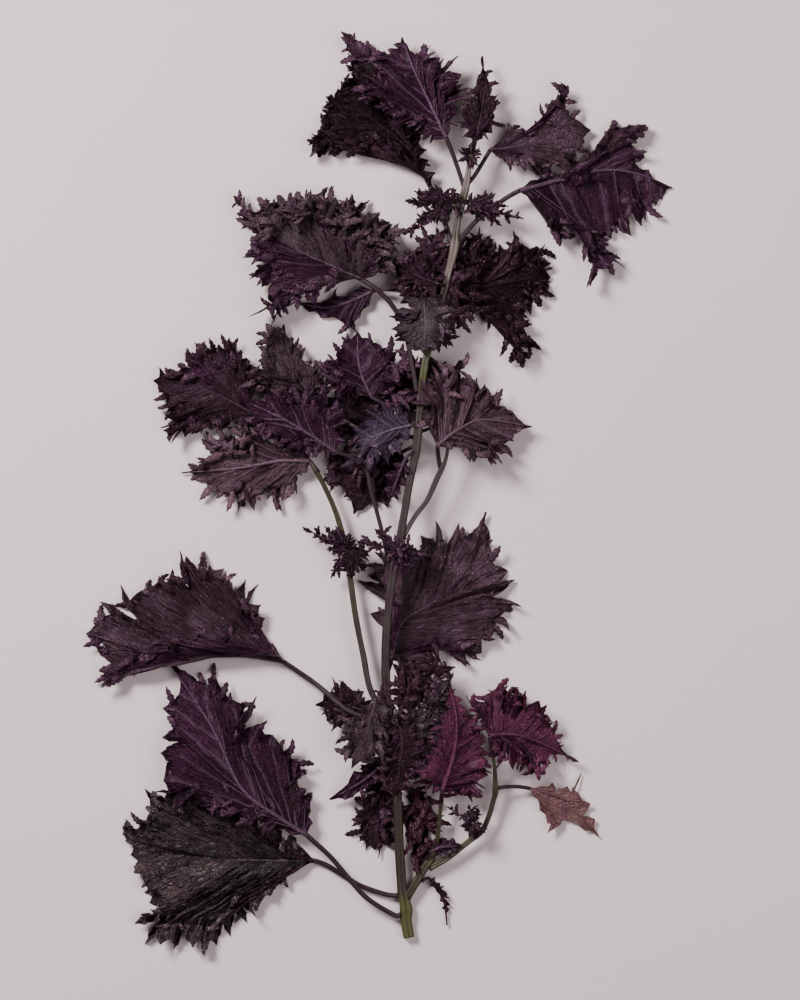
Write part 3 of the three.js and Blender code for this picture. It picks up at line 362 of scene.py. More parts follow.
        "leaf_top_upright", Look.DARK, ruffle=1.2, frill=1.2, lobe=5, cut=2, teeth=0.6,
        rib=((474, 147), (480, 120), (484, 92), (482, 58)),
        left=((463, 138), (456, 124), (464, 108), (468, 92), (476, 80)),
        right=((490, 142), (502, 129), (495, 112), (500, 98), (489, 84)),
        stalk=((471, 160, 14),),
    ),
    LeafPlan(
        "leaf_upper_left_curly", Look.GREY, ruffle=3, fan=4, folded=1, lobe=8, frill=2.5, crumple=1.2,
        teeth=0.6, cut=2.3,
        rib=((361, 280), (330, 266), (296, 250), (262, 228), (234, 197)),
        left=(
            (351, 279), (342, 277), (328, 284), (313, 294), (298, 303), (285, 319), (266, 330), (250, 317),
            (264, 300), (250, 280), (243, 258), (256, 244), (243, 222),
        ),
        right=(
            (374, 276), (390, 272), (407, 265), (398, 250), (405, 236), (394, 228), (383, 210), (372, 197),
            (352, 193), (327, 188), (318, 202), (308, 194), (297, 196), (277, 203), (265, 198), (256, 214),
        ),
        stalk=((417, 393, 17), (410, 355, 15.5), (403, 326, 14.5), (391, 305, 13.5), (376, 290, 12.5)),
        ruffs=(
            (300, 215, 17, 16, 10), (345, 225, 17, 14, 9), (375, 240, 15, 12, 9), (270, 225, 14, 10, 10),
        ),
    ),
    LeafPlan(
        "leaf_upper_front", Look.ASH, ruffle=1.8, crumple=0.6,
        rib=((423, 295), (425, 318), (425, 338), (424, 356)),
        left=((440, 296), (454, 306), (461, 320), (455, 336), (440, 350)),
        right=((406, 297), (392, 305), (385, 318), (389, 335), (397, 348), (408, 352)),
        stalk=((441, 298, 17.2), (432, 296, 19.5)),
    ),
    LeafPlan(
        "leaf_upper_collar", Look.DARK, ruffle=2, fan=3.5, frill=2.6,
        rib=((439, 286), (428, 282), (414, 276), (401, 262)),
        left=((435, 300), (423, 305), (409, 301), (399, 287)),
        right=((445, 275), (438, 264), (424, 254), (410, 251)),
        stalk=((444, 287, 17),),
        ruffs=(
            (446, 287, 15, 14, 9), (452, 314, 12, 12, 9), (438, 334, 12, 10, 8), (428, 262, 15, 10, 8),
            (434, 250, 14, 12, 9), (438, 270, 14, 10, 8),
        ),
    ),
    LeafPlan(
        "leaf_lower_left_purple", Look.PURPLE, ruffle=2, fan=3, lobe=10, frill=0.6, crumple=1.2, teeth=0.6,
        cut=2.2,
        rib=((306, 833), (279, 816), (242, 787), (216, 733), (190, 692), (169, 662)),
        left=(
            (292, 834), (270, 828), (246, 822), (222, 816), (196, 812), (170, 808), (150, 797), (163, 776),
            (156, 752), (157, 733), (178, 720), (160, 713), (182, 693),
        ),
        right=(
            (313, 821), (308, 796), (312, 785), (310, 766), (299, 758), (294, 745), (276, 737), (270, 718),
            (257, 700), (242, 693), (232, 700), (221, 665), (206, 684), (192, 676),
        ),
        stalk=((400, 914, 4.5), (394, 914, 5), (367, 897, 7), (348, 876, 8), (330, 855, 8)),
        ruffs=((262, 812, 9, 10, 9), (222, 805, 9, 10, 9)),
    ),
    LeafPlan(
        "leaf_low_frilly", Look.DARK, ruffle=1.4, frill=1.6, cut=2.2,
        rib=((374, 712), (352, 706), (334, 700), (316, 705)),
        left=((368, 726), (358, 734), (345, 740), (335, 730), (325, 720)),
        right=((372, 696), (362, 686), (346, 677), (334, 676), (325, 690)),
        stalk=((387, 733, 12.5),),
        ruffs=((352, 706, 9, 12, 8),),
    ),
    LeafPlan(
        "leaf_middle_left_folded", Look.SATIN, ruffle=2.2, fan=4.5, folded=1, lobe=8, frill=0.7,
        crumple=1.1, teeth=0.5, cut=1.9,
        rib=((283, 661), (256, 657), (221, 653), (180, 655), (140, 648), (87, 633)),
        left=(
            (278, 655, 6), (250, 648, 8), (218, 644, 9), (190, 645, 8), (165, 660, 6), (134, 676, 3),
            (106, 690, 2), (104, 674, 3), (106, 652, 3),
        ),
        right=(
            (276, 643), (265, 615), (259, 590), (245, 577), (221, 565), (207, 550), (179, 556), (156, 576),
            (139, 592), (122, 586), (108, 604), (102, 617),
        ),
        stalk=((384, 722, 15), (365, 716, 13), (346, 708, 11), (318, 685, 6), (298, 671, 4.5)),
    ),
    LeafPlan(
        "leaf_low_spear", Look.PURPLE, ruffle=1.2,
        rib=((384, 762), (368, 776), (350, 788), (330, 799)),
        left=((388, 772), (378, 781), (362, 788), (346, 799)),
        right=((376, 754), (363, 762), (353, 772), (343, 789)),
        stalk=((392, 752, 15),),
    ),
    LeafPlan(
        "leaf_low_brown", Look.BROWN, ruffle=1.8, fan=3.5, frill=1.6, cut=2.2,
        rib=((400, 708), (410, 694), (428, 680), (455, 666)),
        left=((388, 702), (386, 685), (392, 670), (399, 660), (412, 664), (424, 660), (438, 664)),
        right=((412, 712), (420, 706), (434, 698), (444, 684)),
        stalk=((392, 717, 18),),
        ruffs=((404, 690, 18, 12, 8),),
    ),
    LeafPlan(
        "leaf_low_glossy", Look.GLOSSY, ruffle=1.8, frill=1.6, cut=2.2,
        rib=((408, 746), (422, 726), (436, 702), (453, 672)),
        left=((404, 737), (410, 721), (414, 704), (424, 692), (438, 680)),
        right=((418, 756), (434, 748), (443, 731), (449, 710), (453, 690)),
        stalk=((396, 752, 18),),
        ruffs=((428, 706, 15, 12, 9), (436, 690, 14, 10, 8)),
    ),
    LeafPlan(
        "leaf_low_dark", Look.DARK, ruffle=2, frill=1.7, cut=2.2,
        rib=((400, 724), (402, 742), (400, 764), (396, 794)),
        left=((411, 711), (419, 724), (428, 744), (431, 762), (424, 780), (410, 792)),
        right=((390, 708), (379, 722), (370, 742), (366, 760), (370, 778), (383, 792)),
        stalk=((394, 740, 16.2), (399, 736, 19)),
        ruffs=((402, 722, 17, 14, 9), (386, 702, 17, 12, 8)),
    ),
    LeafPlan(
        "leaf_low_grey", Look.GREY, ruffle=1.8, frill=1.4, crumple=0.7,
        rib=((376, 698), (371, 716), (364, 740), (352, 766)),
        left=((392, 704), (400, 722), (396, 742), (386, 762), (370, 764)),
        right=((362, 702), (352, 716), (347, 734), (340, 754)),
        stalk=((386, 704, 20),),
    ),
    LeafPlan(
        "leaf_mauve", Look.MAUVE, ruffle=1.4, lobe=4.6, frill=0.8, crumple=0.8, teeth=0.8,
        rib=((442, 789), (454, 750), (456, 716), (448, 682)),
        left=((431, 792), (420, 785), (424, 766), (427, 749), (434, 735), (440, 718), (443, 702)),
        right=(
            (456, 797), (471, 800), (484, 786), (491, 774), (494, 752), (490, 732), (478, 712), (462, 696),
        ),
        stalk=((441, 800, 12),),
        ruffs=((434, 776, 10, 10, 10), (446, 786, 9, 8, 8)),
    ),
    LeafPlan(
        "leaf_mauve_frilly", Look.MAUVE, ruffle=2.2, lobe=6, frill=1.4, crumple=0.8, cut=1.9, teeth=0.8,
        rib=((489, 734), (512, 733), (540, 742), (578, 761)),
        left=(
            (478, 722), (472, 712), (463, 700), (482, 690), (498, 688), (512, 681), (529, 690), (547, 703),
            (548, 716), (555, 729), (557, 742),
        ),
        right=((489, 752), (497, 766), (516, 773), (541, 778), (538, 766), (556, 755)),
        stalk=((492, 752, 14),),
    ),
    LeafPlan(
        "leaf_aged", Look.AGED, ruffle=1.2, lobe=9, frill=0, crumple=0.6, teeth=0.4, cut=1.8,
        rib=((530, 788), (554, 800), (577, 816), (598, 836)),
        left=((542, 785), (552, 781), (580, 781), (577, 793), (589, 803), (595, 818)),
        right=((533, 797), (541, 811), (550, 838), (561, 829), (567, 818), (583, 829)),
        stalk=((495, 788, 9), (504, 786, 8), (518, 786, 6)),
    ),
    LeafPlan(
        "leaf_fork_toothed", Look.PURPLE, ruffle=0.8, lobe=4, frill=0.5,
        rib=((431, 850), (440, 846), (451, 845), (461, 844)),
        left=((434, 840), (443, 834), (453, 836)),
        right=((439, 856), (448, 855), (455, 850)),
        stalk=((427, 858, 7),),
    ),
    LeafPlan(
        "leaf_fork_spear", Look.DARK, ruffle=0.8, lobe=4, frill=0.3,
        rib=((427, 877), (437, 884), (444, 902), (447, 925)),
        left=((436, 876), (447, 884), (452, 895), (450, 910)),
        right=((430, 886), (436, 892), (441, 908)),
        stalk=((421, 881, 4.2),),
    ),
)

TUFTS: tuple[TuftPlan, ...] = (
    TuftPlan(
        "tuft_top_left", Look.DARK, centre=(454, 207, 16),
        blades=(
            (453, 190, 5, 19), (428, 191, 7, 16), (414, 193, 5, 15), (405, 203, 5, 13), (398, 236, 3, 10),
            (414, 225, 7, 12), (432, 222, 6, 15),
        ),
    ),
    TuftPlan(
        "tuft_top_right", Look.DARK, centre=(470, 206, 15.6),
        blades=(
            (495, 196, 5, 17), (508, 208, 3, 15), (523, 220, 3, 11), (501, 227, 4, 10), (484, 222, 5, 12),
        ),
    ),
    TuftPlan(
        "tuft_left", Look.DARK, centre=(348, 550, 11),
        blades=(
            (303, 527, 3, 9), (325, 526, 5, 12), (336, 526, 5, 15), (350, 533, 5, 17), (331, 578, 4, 8),
            (327, 549, 5, 10), (352, 578, 7, 11), (370, 556, 9, 12), (366, 571, 6, 10),
        ),
    ),
    TuftPlan(
        "tuft_centre", Look.PURPLE, centre=(398, 549, 21),
        blades=(
            (357, 541, 3, 19), (375, 529, 4, 22), (386, 540, 5, 23), (416, 548, 7, 19), (419, 562, 6, 17),
            (408, 574, 6, 18),
        ),
    ),
    TuftPlan(
        "bud_cluster", Look.DARK, centre=(473, 822, 13),
        blades=(
            (468, 803, 4, 13), (478, 806, 4, 12), (482, 822, 4, 11), (476, 838, 5, 9), (465, 830, 4, 11),
            (462, 817, 3, 12), (482, 832, 3, 7.4), (447, 805, 1.4, 13),
        ),
    ),
    TuftPlan(
        "bud_top", Look.DARK, centre=(470, 158, 17),
        blades=((470, 146, 4, 18), (462, 163, 3, 18), (477, 163, 3, 17)),
    ),
)

STEMS: tuple[StemPlan, ...] = (
    StemPlan(
        "main_stem",
        rows=(
            (409, 937, 2.2, 3.1), (406, 920, 2.2, 3.2), (406, 908, 2.4, 3.5), (402, 887, 3.4, 2.8),
            (399, 841, 7, 2.7), (397, 792, 11, 2.6), (391, 735, 14, 2.5), (386, 679, 16, 2.3),
            (386, 640, 17, 2.4), (389, 605, 17, 2.4), (393, 572, 17, 2.5), (399, 545, 17, 2.4),
            (404, 515, 17, 2.2), (410, 480, 17, 2.2), (416, 450, 17, 2.3), (420, 410, 17, 2.1),
            (424, 370, 17, 2.1), (431, 340, 16, 2), (441, 300, 15, 2), (449, 270, 15, 2),
            (454, 249, 15, 2.4), (457, 225, 14, 1.8), (462, 203, 14, 2.2), (466, 186, 14, 1.9),
            (469, 166, 14, 1.4), (471, 148, 13.5, 1),
        ),
    ),
    StemPlan(
        "side_stem_left",
        rows=(
            (388, 716, 15, 1.7), (371, 690, 12, 1.7), (363.5, 655, 10, 1.7), (356, 617, 9, 1.7),
            (349.5, 573, 8, 1.7), (344, 543, 8, 1.9), (337, 515, 9, 1.5), (324, 485, 10, 1.4),
            (313, 466, 12, 1.2),
        ),
    ),
    StemPlan(
        "side_stem_right",
        rows=(
            (397, 549, 17, 1.5), (413, 519, 17, 1.4), (427, 500, 16, 1.4), (437, 478, 16, 1.6),
            (445, 461, 17, 1.1), (448, 446, 18, 0.9),
        ),
    ),
    StemPlan(
        "side_stem_lower",
        rows=(
            (407, 897, 3.6, 2.2), (421, 873, 4.6, 2.2), (433, 853, 5.4, 2), (438, 832, 8, 1.2),
            (441, 800, 11, 1.1), (443, 790, 12, 1),
        ),
    ),
    StemPlan(
        "side_stem_lower_right",
        rows=(
            (429, 868, 4.8, 1.7), (449, 856, 5.4, 1.6), (468, 841, 6, 1.6), (481, 831, 6, 1.5),
            (488, 817, 7, 1.5), (493, 800, 8, 1.4), (495, 789, 9, 1.5), (494, 765, 12, 1),
            (490, 742, 14, 0.9),
        ),
    ),
)


def squares(x: float, y: float) -> Vector:
    """A point of the paper in millimetres on the surface."""
    return Vector(((x - SHEET_X) * GRID, (SHEET_Y - y) * GRID))


def draw(i: float, j: float) -> float:
    """A repeatable number from 0 to 1 for the pair of numbers."""
    value = math.sin(i * 12.9898 + j * 78.233) * 43758.5453
    return value - math.floor(value)


def smoothstep(x: float, low: float, high: float) -> float:
    """0 below low, 1 above high and a smooth rise between."""
    t = min(max((x - low) / (high - low), 0.0), 1.0)
    return t * t * (3 - 2 * t)


def ripple(x: float, seed: float) -> float:
    """A smooth random wave of about -1 to 1 with a bend every unit of x."""
    return 2.0 * noise.noise(Vector((x, seed * 3.7, seed * 1.3)))


def curve_point(points: list[Vector], t: float) -> Vector:
    """A point of the smooth curve through the points.

    Args:
        points: The points of the curve, in two or three dimensions.
        t: Place from 0 at the first point to 1 at the last.

    Returns:
        The point in millimetres.
    """
    along = min(max(t, 0.0), 1.0) * (len(points) - 1)
    k = min(int(along), len(points) - 2)
    w = along - k
    before = points[max(k - 1, 0)]
    start, end = points[k], points[k + 1]
    after = points[min(k + 2, len(points) - 1)]
    lead, trail = (end - before) * 0.5, (after - start) * 0.5
    return (
        (2 * start - 2 * end + lead + trail) * w ** 3
        + (-3 * start + 3 * end - 2 * lead - trail) * w ** 2
        + lead * w
        + start
    )


def length_of(line: list[Vector]) -> float:
    """Length of a line through points."""
    return sum((b - a).length for a, b in zip(line, line[1:]))


def edged(angle: float) -> tuple[float, float]:
    """Form of a four-edged stem at an angle.

    Args:
        angle: Angle round the stem in radians.

    Returns:
        Its rise over a round stem, as a share of the groove's depth, and the darkness of its lines: in the
        grooves a painted shade, at the corners the stem's own purple.
    """
    from_face = abs((angle + math.pi / 4) % (math.pi / 2) - math.pi / 4)
    groove = math.exp(-((from_face / 0.2) ** 2))
    corner = math.exp(-(((math.pi / 4 - from_face) / 0.17) ** 2))
    return -math.cos(4 * angle) - 1.1 * groove, max(groove, 0.85 * corner)


class NodeSurface:
    """The upper surface of one solid of the frame, read from above."""

    def __init__(self, name: str) -> None:
        """Reads the solid named."""
        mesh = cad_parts[name].data
        places = [vertex.co.copy() for vertex in mesh.vertices]
        faces = [tuple(polygon.vertices) for polygon in mesh.polygons]
        self.tree = BVHTree.FromPolygons(places, faces)

    def top(self, x: float, y: float) -> float:
        """Height of the highest point over a place, in mm, or nan beside the solid."""
        hit = self.tree.ray_cast(Vector((x * MM, y * MM, 1.0)), Vector((0, 0, -1)))[0]
        return hit.z / MM if hit else math.nan


def filled(heights: np.ndarray) -> np.ndarray:
    """Fills the gaps of heights.

    Args:
        heights: Heights, nan where there is none.

    Returns:
        The heights, with each gap along the last axis filled from the value before it.
    """
    result = heights.copy()
    for row in result.reshape(-1, result.shape[-1]):
        known = np.flatnonzero(~np.isnan(row))
        if len(known):
            places = np.searchsorted(known, np.arange(len(row)), side="right") - 1
            row[:] = row[known[np.clip(places, 0, None)]]
    return result


def softened(values: np.ndarray, axis: int, reach: float) -> np.ndarray:
    """Evens values out.

    Args:
        values: The values.
        axis: Axis to even them along.
        reach: How many neighbours to each side count most.

    Returns:
        The values averaged along the axis.
    """
    width = max(1, int(reach * 2))
    kernel = np.exp(-0.5 * (np.arange(-width, width + 1) / reach) ** 2)
    kernel /= kernel.sum()
    pad = [(0, 0)] * values.ndim
    pad[axis] = (width, width)
    wide = np.pad(values, pad, mode="edge")
    return np.apply_along_axis(lambda line: np.convolve(line, kernel, mode="valid"), axis, wide)


def noise_over(plan: np.ndarray, size: float, seed: float) -> np.ndarray:
    """Smooth noise over a lattice.

    Args:
        plan: Columns by rows of places in mm.
        size: Distance between its bends in mm.
        seed: Number that the noise follows.

    Returns:
        A value of about -1 to 1 for each place.
    """
    return np.array([[noise.noise(Vector((x / size, y / size, seed))) for x, y in column] for column in plan])


def directions(rows: np.ndarray) -> np.ndarray:
    """Rows of vectors brought to a length of 1."""
    return rows / (np.linalg.norm(rows, axis=1)[:, None] + NO_LENGTH)


def along_paper(stops: Squares, line: list[Vector]) -> np.ndarray:
    """Values along a line that change from one end of the sprig to the other.

    Args:
        stops: Pairs of a height on the paper and the value there.
        line: The line in mm.

    Returns:
        The value at each point of the line.
    """
    heights, values = zip(*sorted(stops))
    return np.array([np.interp(SHEET_Y - point.y / GRID, heights, values) for point in line])


@dataclass
class MarginPoint:
    """A tip or a notch of the margin, with the place below it where its lobe starts."""

    place: Vector
    floor: Vector
    walked: float
    rise: float
    lobe: int
    is_main: bool = False
    u: float = 0.0


@dataclass
class Margin:
    """The margin of one half of a blade, from the base to the apex: lobes with smaller teeth on them."""

    plan: LeafPlan
    hand: int
    seed: float
    tooth: float = 3.8
    sharp: float = 0.5
    blunt: float = 1.7
    projected: float = 0.12
    stray: float = 0.4
    slide: float = 0.22
    bulge: float = 0.06
    rib_steps: int = 60
    rib: list[Vector] = field(init=False)

    def __post_init__(self) -> None:
        """Plots the rib."""
        self.rib = [squares(x, y) for x, y in self.plan.rib]

    def openness(self, corners: list[Vector]) -> list[float]:
        """How deep the cuts beside each corner of the outline may go.

        Args:
            corners: The corners from base to apex.

        Returns:
            A share for each corner, from 0 at a sharp lobe to 1.
        """
        result = [1.0]
        for before, here, after in zip(corners, corners[1:], corners[2:]):
            back, onward = before - here, after - here
            turn = back.x * onward.y - back.y * onward.x
            hollow = 0.35 if turn * self.hand < 0 else 1.0
            angle = abs(back.angle_signed(onward)) if back.length and onward.length else math.pi
            result.append(hollow * (0.25 + 0.75 * smoothstep(angle, self.sharp, self.blunt)))
        return [*result, 1.0]

    def points(self) -> list[MarginPoint]:
        """Plots the margin.

        Returns:
            Tips and notches from base to apex, the base and the apex among them.
        """
        tips = self.plan.left if self.hand > 0 else self.plan.right
        corners = [self.rib[0], *(squares(tip[0], tip[1]) for tip in tips), self.rib[-1]]
        opens = self.openness(corners)
        lobes, allowed, main = [corners[0]], [opens[0]], [False]
        for k in range(1, len(corners)):
            side = corners[k] - corners[k - 1]
            parts = max(1, round(side.length / self.plan.lobe))
            inward = Vector((side.y, -side.x)) * self.hand / max(side.length, NO_LENGTH)
            for n in range(1, parts + 1):
                short = self.stray * self.plan.lobe * draw(n + k * 5.1, self.seed + 3) if n < parts else 0.0
                lobes.append(corners[k - 1].lerp(corners[k], n / parts) + inward * short)
                if n < parts:
                    slide = self.slide * self.plan.lobe * (0.4 + draw(n, self.seed + k))
                    lobes[-1] += side.normalized() * slide
                allowed.append(opens[k] if n == parts else max(opens[k - 1], opens[k]))
                main.append(n == parts)
        walked = np.concatenate([[0.0], np.cumsum([(b - a).length for a, b in zip(lobes, lobes[1:])])])
        walked = (walked / walked[-1]).tolist()
        middles = [(a + b) / 2 for a, b in zip(walked, walked[1:])]
        notches = [
            self.notch(lobes[k - 1], lobes[k], middles[k - 1], min(allowed[k - 1], allowed[k]), k)
            for k in range(1, len(lobes))
        ]
        floors = [lobes[0].copy()]
        for k in range(1, len(lobes) - 1):
            floors.append((notches[k - 1] + notches[k]) / 2)
        inner = curve_point(self.rib, 0.9)
        floors.append(lobes[-1].lerp(inner, 0.5))
        found = [MarginPoint(lobes[0].copy(), lobes[0].copy(), 0.0, 0.0, 0)]
        for k in range(1, len(lobes)):
            notch, middle = notches[k - 1], middles[k - 1]
            found.extend(self.flank(lobes[k - 1], notch, floors[k - 1], walked[k - 1], middle, k - 1, True))
            found.append(MarginPoint(notch.copy(), notch.copy(), middle, 0.0, k))
            found.extend(self.flank(lobes[k], notch, floors[k], walked[k], middle, k, False))
            found.append(MarginPoint(lobes[k].copy(), floors[k].copy(), walked[k], 1.0, k, main[k]))
        self.set_places(found)
        return found

    def notch(self, start: Vector, end: Vector, walked: float, allowed: float, number: int) -> Vector:
        """The notch between two lobes.

        Args:
            start: Tip of the lobe before.
            end: Tip of the lobe after.
            walked: Place on the margin from 0 to 1.
            allowed: How deep the cut may go, from 0 to 1.
            number: Number of the notch.

        Returns:
            The deepest point of the notch.
        """
        middle = start.lerp(end, 0.42 + 0.16 * draw(number, self.seed))
        to_rib = curve_point(self.rib, walked ** 1.25) - middle
        span = end - start
        cut = min(self.plan.cut * span.length, 1.05 * self.plan.cut * self.plan.lobe, to_rib.length * 0.72)
        cut *= smoothstep(walked, 0.0, 0.12) * allowed * (0.65 + 0.6 * draw(number * 1.7, self.seed + 2))
        inward = Vector((span.y, -span.x)) * self.hand
        if inward.length:
            inward.normalize()
        if to_rib.length:
            inward = (inward + to_rib.normalized() * 0.6).normalized()
        return middle + inward * cut

    def flank(self, tip: Vector, notch: Vector, floor: Vector, tip_walked: float, notch_walked: float,
              lobe: int, down: bool) -> list[MarginPoint]:
        """The small teeth on one side of a lobe.

        Args:
            tip: Tip of the lobe.
            notch: Notch beside the lobe.
            floor: Place where the lobe starts, below its tip.
            tip_walked: Place of the tip on the margin.
            notch_walked: Place of the notch on the margin.
            lobe: Number of the lobe.
            down: Whether the margin runs from the tip to the notch here.

        Returns:
            Small notches and tips in the order of the margin.
        """
        side = notch - tip
        length = side.length
        count = max(1, round(length / self.tooth))
        out = Vector((-side.y, side.x)) * (self.hand if down else -self.hand)
        if out.length:
            out.normalize()
        fade = smoothstep(tip_walked, 0.0, 0.1)
        bulge = self.bulge * length * fade
        made = []
        for k in range(1, count):
            size = length / count * fade * self.plan.teeth * (1 - k / count)
            size *= 0.6 + 0.7 * draw(k + lobe * 3.3, self.seed + 8)
            for share, rise in ((k / count, -0.05), ((k + 0.25) / count, 0.36)):
                place = tip + side * share + out * (size * rise + bulge * math.sin(math.pi * share))
                walked = tip_walked + (notch_walked - tip_walked) * share
                made.append(MarginPoint(place, floor.lerp(notch, share), walked, 1 - share, lobe))
        return made if down else made[::-1]

    def set_places(self, found: list[MarginPoint]) -> None:
        """Gives each point its place on the rib.

        Args:
            found: The points of the margin from base to apex.
        """
        steps = [k / self.rib_steps for k in range(self.rib_steps + 1)]
        line = [curve_point(self.rib, t) for t in steps]
        farthest = 0.0
        for point in found[1:-1]:
            nearest = min(steps, key=lambda t: (line[round(t * self.rib_steps)] - point.floor).length)
            u = point.walked ** self.plan.fan * (1 - self.projected) + nearest * self.projected
            farthest = min(max(farthest, u, 0.012), 0.97)
            point.u = farthest
        found[-1].u = 1.0


@dataclass(frozen=True)
class Columns:
    """What the columns of a half blade run between, from base to apex.

    Edge is the margin, floor the line where the lobes start, and places where the columns leave the rib.
    Rise is 0 in a notch and 1 at a tip, and lobe the number of a column's lobe. Tips are the columns of
    the small veins, which end in tips, and main those of the main side veins.
    """

    edge: np.ndarray
    floor: np.ndarray
    places: np.ndarray
    rise: np.ndarray
    lobe: list[int]
    tips: list[int]
    main: list[int]


@dataclass
class HalfBlade:
    """One half of a blade as a lattice from the rib to the margin."""

    plan: LeafPlan
    hand: int
    seed: float
    column_pitch: float = 1.8
    inner_rows: int = 22
    outer_rows: int = 8
    body: float = 0.7
    lobe_start: float = 0.94
    tooth: float = 3.8
    crumpled: float = 1.0
    slow_pitch: float = 8.0
    slow_height: float = 3.6
    quick_pitch: float = 3.4
    quick_height: float = 2.0
    curl_lift: float = 3.0
    curl_bend: float = 2.6
    sway_pitch: float = 11.0
    sway: float = 2.4
    warp_pitch: float = 7.0
    warp: float = 4.5
    full_width: float = 15.0
    least_height: float = 0.5

    def lattice(self, surface: NodeSurface, rib_height: "RibHeight") -> None:
        """Works out the places of the lattice and the values that its colours follow.

        Args:
            surface: The solid that the blade lies on.
            rib_height: Height of the rib, shared by both halves.
        """
        points = Margin(self.plan, self.hand, self.seed, self.tooth).points()
        edge, floor, places, rise, lobe, tips, main = [], [], [], [], [], [], []
        for k, (a, b) in enumerate(zip(points, points[1:])):
            step = b.place - a.place
            count = max(1, round(step.length / self.column_pitch))
            for n in range(count + (k == len(points) - 2)):
                t = n / count
                edge.append(a.place + step * t)
                floor.append(a.floor.lerp(b.floor, t))
                places.append(a.u + (b.u - a.u) * t)
                rise.append(a.rise + (b.rise - a.rise) * t)
                lobe.append(a.lobe if t < 0.5 else b.lobe)
            if b.rise == 1.0 and k < len(points) - 2:
                (main if b.is_main else tips).append(len(edge))
        columns = Columns(np.array(edge), np.array(floor), np.array(places), np.array(rise), lobe, tips, main)
        base = self.spread(columns)
        self.settle(surface, rib_height.at(columns.places))
        self.wave(columns, base)
        self.crumple(columns)
        self.height[:, 0] = rib_height.at(columns.places)
        self.height = np.maximum(self.height, self.least_height)
        self.places = np.concatenate([self.flat, self.height[:, :, None]], axis=2)
        self.veins = main

    def spread(self, columns: Columns) -> np.ndarray:
        """Lays the lattice flat between the rib and the margin.

        Args:
            columns: What the columns run between.

        Returns:
            Where the lobe of each column starts.
        """
        rib = np.array([curve_point([squares(x, y) for x, y in self.plan.rib], u) for u in columns.places])
        self.floor = softened(columns.floor, 0, 1.5)
        self.floor[0], self.floor[-1] = rib[0], rib[-1]
        base = rib + (self.floor - rib) * self.lobe_start
        stage = np.linspace(0, 1, self.inner_rows + 1)[None, :, None]
        fringe = np.linspace(0, 1, self.outer_rows + 1)[None, 1:, None]
        inner = rib[:, None] + (base - rib)[:, None] * stage
        outer = base[:, None] + (columns.edge - base)[:, None] * fringe
        self.flat = np.concatenate([inner, outer], axis=1)
        self.v = np.concatenate([stage[0, :, 0] * self.body, self.body + fringe[0, :, 0] * (1 - self.body)])
        floor_steps = np.linalg.norm(np.diff(self.floor, axis=0), axis=1)
        edge_steps = np.linalg.norm(np.diff(columns.edge, axis=0), axis=1)
        self.along = np.concatenate([[0.0], np.cumsum(floor_steps + 0.25 * edge_steps)])
        self.width = softened(np.linalg.norm(columns.edge - rib, axis=1), 0, 3.0)
        return base

    def settle(self, surface: NodeSurface, rib_z: np.ndarray) -> None:
        """Lays the lattice on its solid.

        Args:
            surface: The solid.
            rib_z: Height of the rib at each column in mm.
        """
        seen = np.array([[surface.top(x, y) for x, y in column] for column in self.flat])
        height = filled(filled(seen).T).T
        height = softened(softened(height, 0, 6.0), 1, 1.8)
        hold = np.clip(1 - self.v * 5, 0, 1)[None, :]
        self.height = height * (1 - hold) + rib_z[:, None] * hold

    def wave(self, columns: Columns, base: np.ndarray) -> None:
        """Ruffles the blade towards its margin, curls its lobes and sways it to the sides.

        Args:
            columns: What the columns run between.
            base: Where the lobe of each column starts.
        """
        v, along = self.v, self.along
        force = 0.5 * self.plan.ruffle * np.clip(self.width / 14, 0.2, 1.1)
        calm = np.clip(np.minimum(along, along[-1] - along) / 6, 0, 1)
        slow = np.array([ripple(a / self.slow_pitch, self.seed) for a in along]) * self.slow_height
        quick = np.array([ripple(a / self.quick_pitch, self.seed + 9) for a in along]) * self.quick_height
        self.height += (force * calm)[:, None] * (slow[:, None] * v ** 1.8 + quick[:, None] * v ** 3)
        w = np.clip((v - self.body) / (1 - self.body), 0, 1)
        lift = np.array([draw(t, self.seed) * 2 - 0.7 for t in columns.lobe])
        bend = np.array([draw(t, self.seed + 5) * 2 - 1 for t in columns.lobe])
        outward = columns.edge - base
        reach = np.linalg.norm(outward, axis=1)
        curl = (columns.rise * calm * np.clip(reach / 7, 0, 1.4))[:, None] * (w ** 2)[None, :]
        self.height += curl * lift[:, None] * self.curl_lift
        run = directions(np.gradient(self.floor, axis=0))
        flat = self.flat + run[:, None] * (curl * bend[:, None] * self.curl_bend)[:, :, None]
        flat = flat - directions(outward)[:, None] * (curl * np.abs(lift)[:, None])[:, :, None]
        drift = np.stack([noise_over(flat, self.sway_pitch, self.seed + k) for k in (0, 30)], axis=2)
        broad = np.clip(self.width / self.full_width, 0.2, 1)
        self.flat = flat + drift * (self.sway * v ** 1.2)[None, :, None] * broad[:, None, None]

